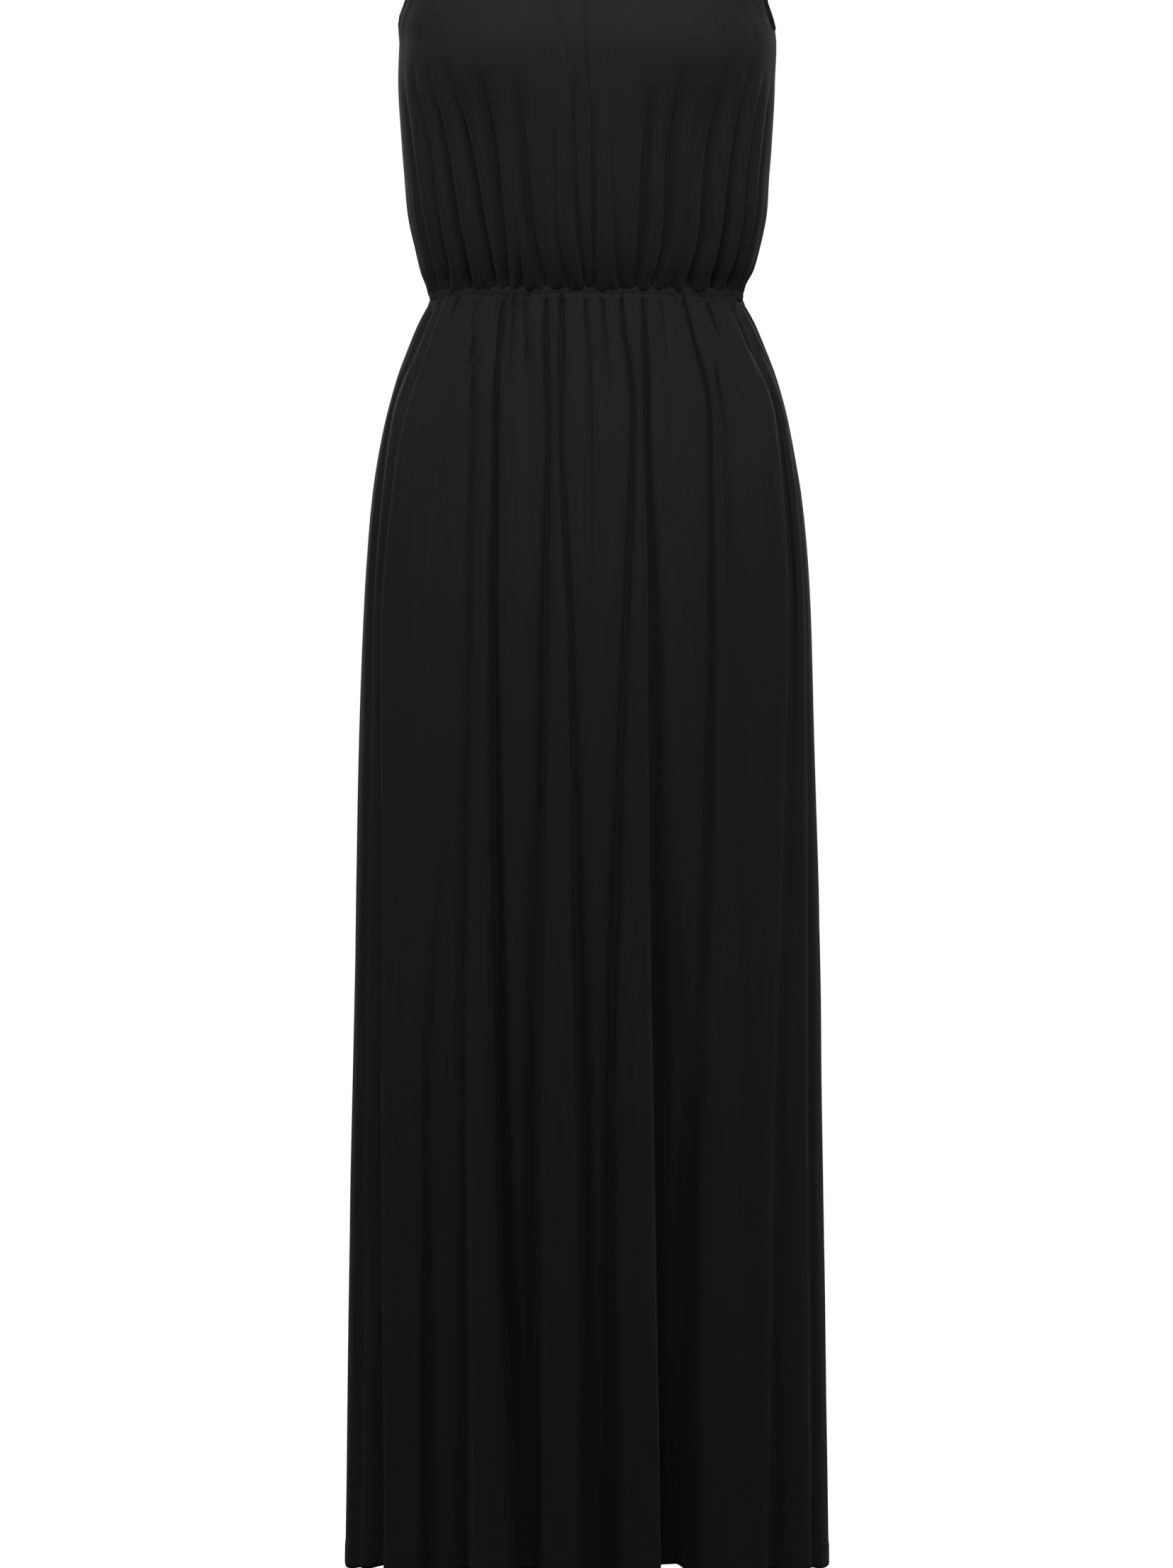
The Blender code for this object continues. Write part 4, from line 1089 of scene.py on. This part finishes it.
def floor_material():
    """Plain white paper with a painted glow: weaker near the dress, which paints shade round it, and full
    away from it, so that its far edge melts into the surround.
    """
    material, tree, shader = new_material("pale_floor")
    fill(shader, Base_Color=(0.9, 0.9, 0.9, 1), Emission_Color=(1, 1, 1, 1))
    fill(shader, Roughness=0.9, Specular_IOR_Level=0.0)
    place = tree.nodes.new("ShaderNodeTexCoord")
    radius = tree.nodes.new("ShaderNodeVectorMath")
    radius.operation = "LENGTH"
    painted_glow = node(tree, "ShaderNodeMapRange", From_Min=0.15, From_Max=0.95, To_Min=0.50, To_Max=1.0)
    painted_glow.interpolation_type = "SMOOTHSTEP"
    tree.links.new(place.outputs["Object"], radius.inputs[0])
    tree.links.new(radius.outputs["Value"], painted_glow.inputs["Value"])
    tree.links.new(painted_glow.outputs["Result"], shader.inputs["Emission Strength"])
    return material


def add_floor():
    """The floor, under the hem. It lights nothing but itself."""
    bpy.ops.mesh.primitive_plane_add(size=FLOOR_SIZE, location=(0, 0, FLOOR))
    floor = bpy.context.object
    floor.name = "floor"
    floor.data.materials.append(floor_material())
    floor.visible_diffuse = False
    floor.visible_glossy = False


def add_camera():
    """The camera at the photograph's height and framing."""
    data = bpy.data.cameras.new("camera")
    data.sensor_width = SENSOR
    data.lens = SENSOR * CAMERA_DISTANCE / (IMAGE_HEIGHT * METRES_PER_PIXEL)
    data.clip_end = CLIP_END
    camera = added("camera", data)
    across = (IMAGE_WIDTH / 2 - CENTRE_COLUMN) * METRES_PER_PIXEL
    up = (ORIGIN_ROW - IMAGE_HEIGHT / 2) * METRES_PER_PIXEL
    camera.location = (across, -CAMERA_DISTANCE, up)
    camera.rotation_euler = (math.pi / 2, 0, 0)
    bpy.context.scene.camera = camera


Softbox = namedtuple("Softbox", "name place target width height power")
SOFTBOXES = (
    Softbox("key_above", (0.0, -1.10, 0.66), (0.0, 0.0, 0.00), 1.3, 0.6, 14.2),
    Softbox("fill_front", (0.0, -1.80, -0.10), (0.0, 0.0, -0.25), 1.4, 0.6, 5.2),
    Softbox("side_left", (-1.95, -0.70, 0.32), (0.0, 0.0, -0.35), 0.7, 1.2, 13.5),
    Softbox("side_right", (1.95, -0.70, 0.32), (0.0, 0.0, -0.35), 0.7, 1.2, 13.5),
    Softbox("back_above", (0.0, 1.00, 0.80), (0.0, 0.0, -0.05), 1.3, 0.6, 15),
    Softbox("fill_back", (0.0, 2.20, -0.30), (0.0, 0.0, -0.50), 1.4, 0.6, 8),
    Softbox("back_left", (-1.1, 1.90, 0.20), (0.0, 0.0, -0.45), 0.7, 1.2, 5),
    Softbox("back_right", (1.1, 1.90, 0.20), (0.0, 0.0, -0.45), 0.7, 1.2, 5),
)
AMBIENT = 0.046


def add_lights():
    """Softboxes round the dress, and a white surround."""
    for box in SOFTBOXES:
        data = bpy.data.lights.new(box.name, "AREA")
        data.shape = "RECTANGLE"
        data.size = box.width
        data.size_y = box.height
        data.energy = box.power
        light = added(box.name, data)
        light.location = box.place
        light.rotation_mode = "QUATERNION"
        light.rotation_quaternion = (Vector(box.target) - Vector(box.place)).to_track_quat("-Z", "Y")
    world = bpy.data.worlds.new("surround")
    bpy.context.scene.world = world
    world.use_nodes = True
    tree = world.node_tree
    seen = tree.nodes["Background"]
    fill(seen, Color=(1, 1, 1, 1), Strength=1.0)
    ambient = node(tree, "ShaderNodeBackground", Color=(1, 1, 1, 1), Strength=AMBIENT)
    path = tree.nodes.new("ShaderNodeLightPath")
    mix = tree.nodes.new("ShaderNodeMixShader")
    tree.links.new(path.outputs["Is Camera Ray"], mix.inputs["Fac"])
    tree.links.new(ambient.outputs["Background"], mix.inputs[1])
    tree.links.new(seen.outputs["Background"], mix.inputs[2])
    tree.links.new(mix.outputs["Shader"], tree.nodes["World Output"].inputs["Surface"])
    bpy.context.scene.view_settings.view_transform = "Standard"


def finish_piece(piece, materials, nodes):
    """Gives a piece its materials (for cloth, its outside and its inside), puts it under the root body, and
    hides the solids that it stands for.
    """
    for material in materials:
        piece.data.materials.append(material)
    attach(piece, "root")
    if nodes:
        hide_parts(*nodes)


def main():
    """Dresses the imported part."""
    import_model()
    add_camera()
    add_lights()
    add_floor()
    jersey = jersey_material("black_jersey", 0.013, 0.019)
    # The inside of the cloth is a lighter copy of the same jersey: painted light, standing in for the light
    # that barely reaches inside the dress.
    inside = jersey_material("jersey_inside_painted_light", 0.028, 0.038)
    # The casing is a slightly lighter copy of the same jersey: painted light, so that the band reads
    # brighter, as if it caught more light.
    casing_cloth_painted_light = jersey_material("casing_jersey_painted_light", 0.015, 0.021)
    thread = thread_material("black_thread")
    front_puckers = waist_puckers(seed=11)
    back_puckers = waist_puckers(seed=12)
    bodice_front = bodice_panel(
        "front_bodice_cloth", FRONT, BODICE_FRONT_FOLDS, CHEST_CREASES, front_puckers, seed=21
    )
    bodice_back = bodice_panel(
        "back_bodice_cloth", BACK, BODICE_BACK_FOLDS, BACK_CREASES, back_puckers, seed=22
    )
    skirt_front = skirt_panel(
        "front_skirt_cloth", FRONT, SKIRT_FRONT_FOLDS, SKIRT_FRONT_HOLLOWS, front_puckers, seed=23
    )
    skirt_back = skirt_panel(
        "back_skirt_cloth", BACK, SKIRT_BACK_FOLDS, SKIRT_BACK_HOLLOWS, back_puckers, seed=25
    )
    casing = elastic_casing("elastic_casing", front_puckers, back_puckers)
    finish_piece(bodice_front.piece, [jersey, inside], ["bodice_front"])
    finish_piece(bodice_back.piece, [jersey, inside], ["bodice_back"])
    finish_piece(skirt_front.piece, [jersey, inside], ["skirt_front"])
    finish_piece(skirt_back.piece, [jersey, inside], ["skirt_back"])
    finish_piece(casing, [casing_cloth_painted_light, inside], ["waist_casing"])
    edges = stitch_object("edge_stitches", edge_lines(bodice_front) + edge_lines(bodice_back))
    hems = stitch_object("hem_stitches", hem_lines(skirt_front) + hem_lines(skirt_back))
    finish_piece(edges, [thread], [])
    finish_piece(hems, [thread], [])


main()
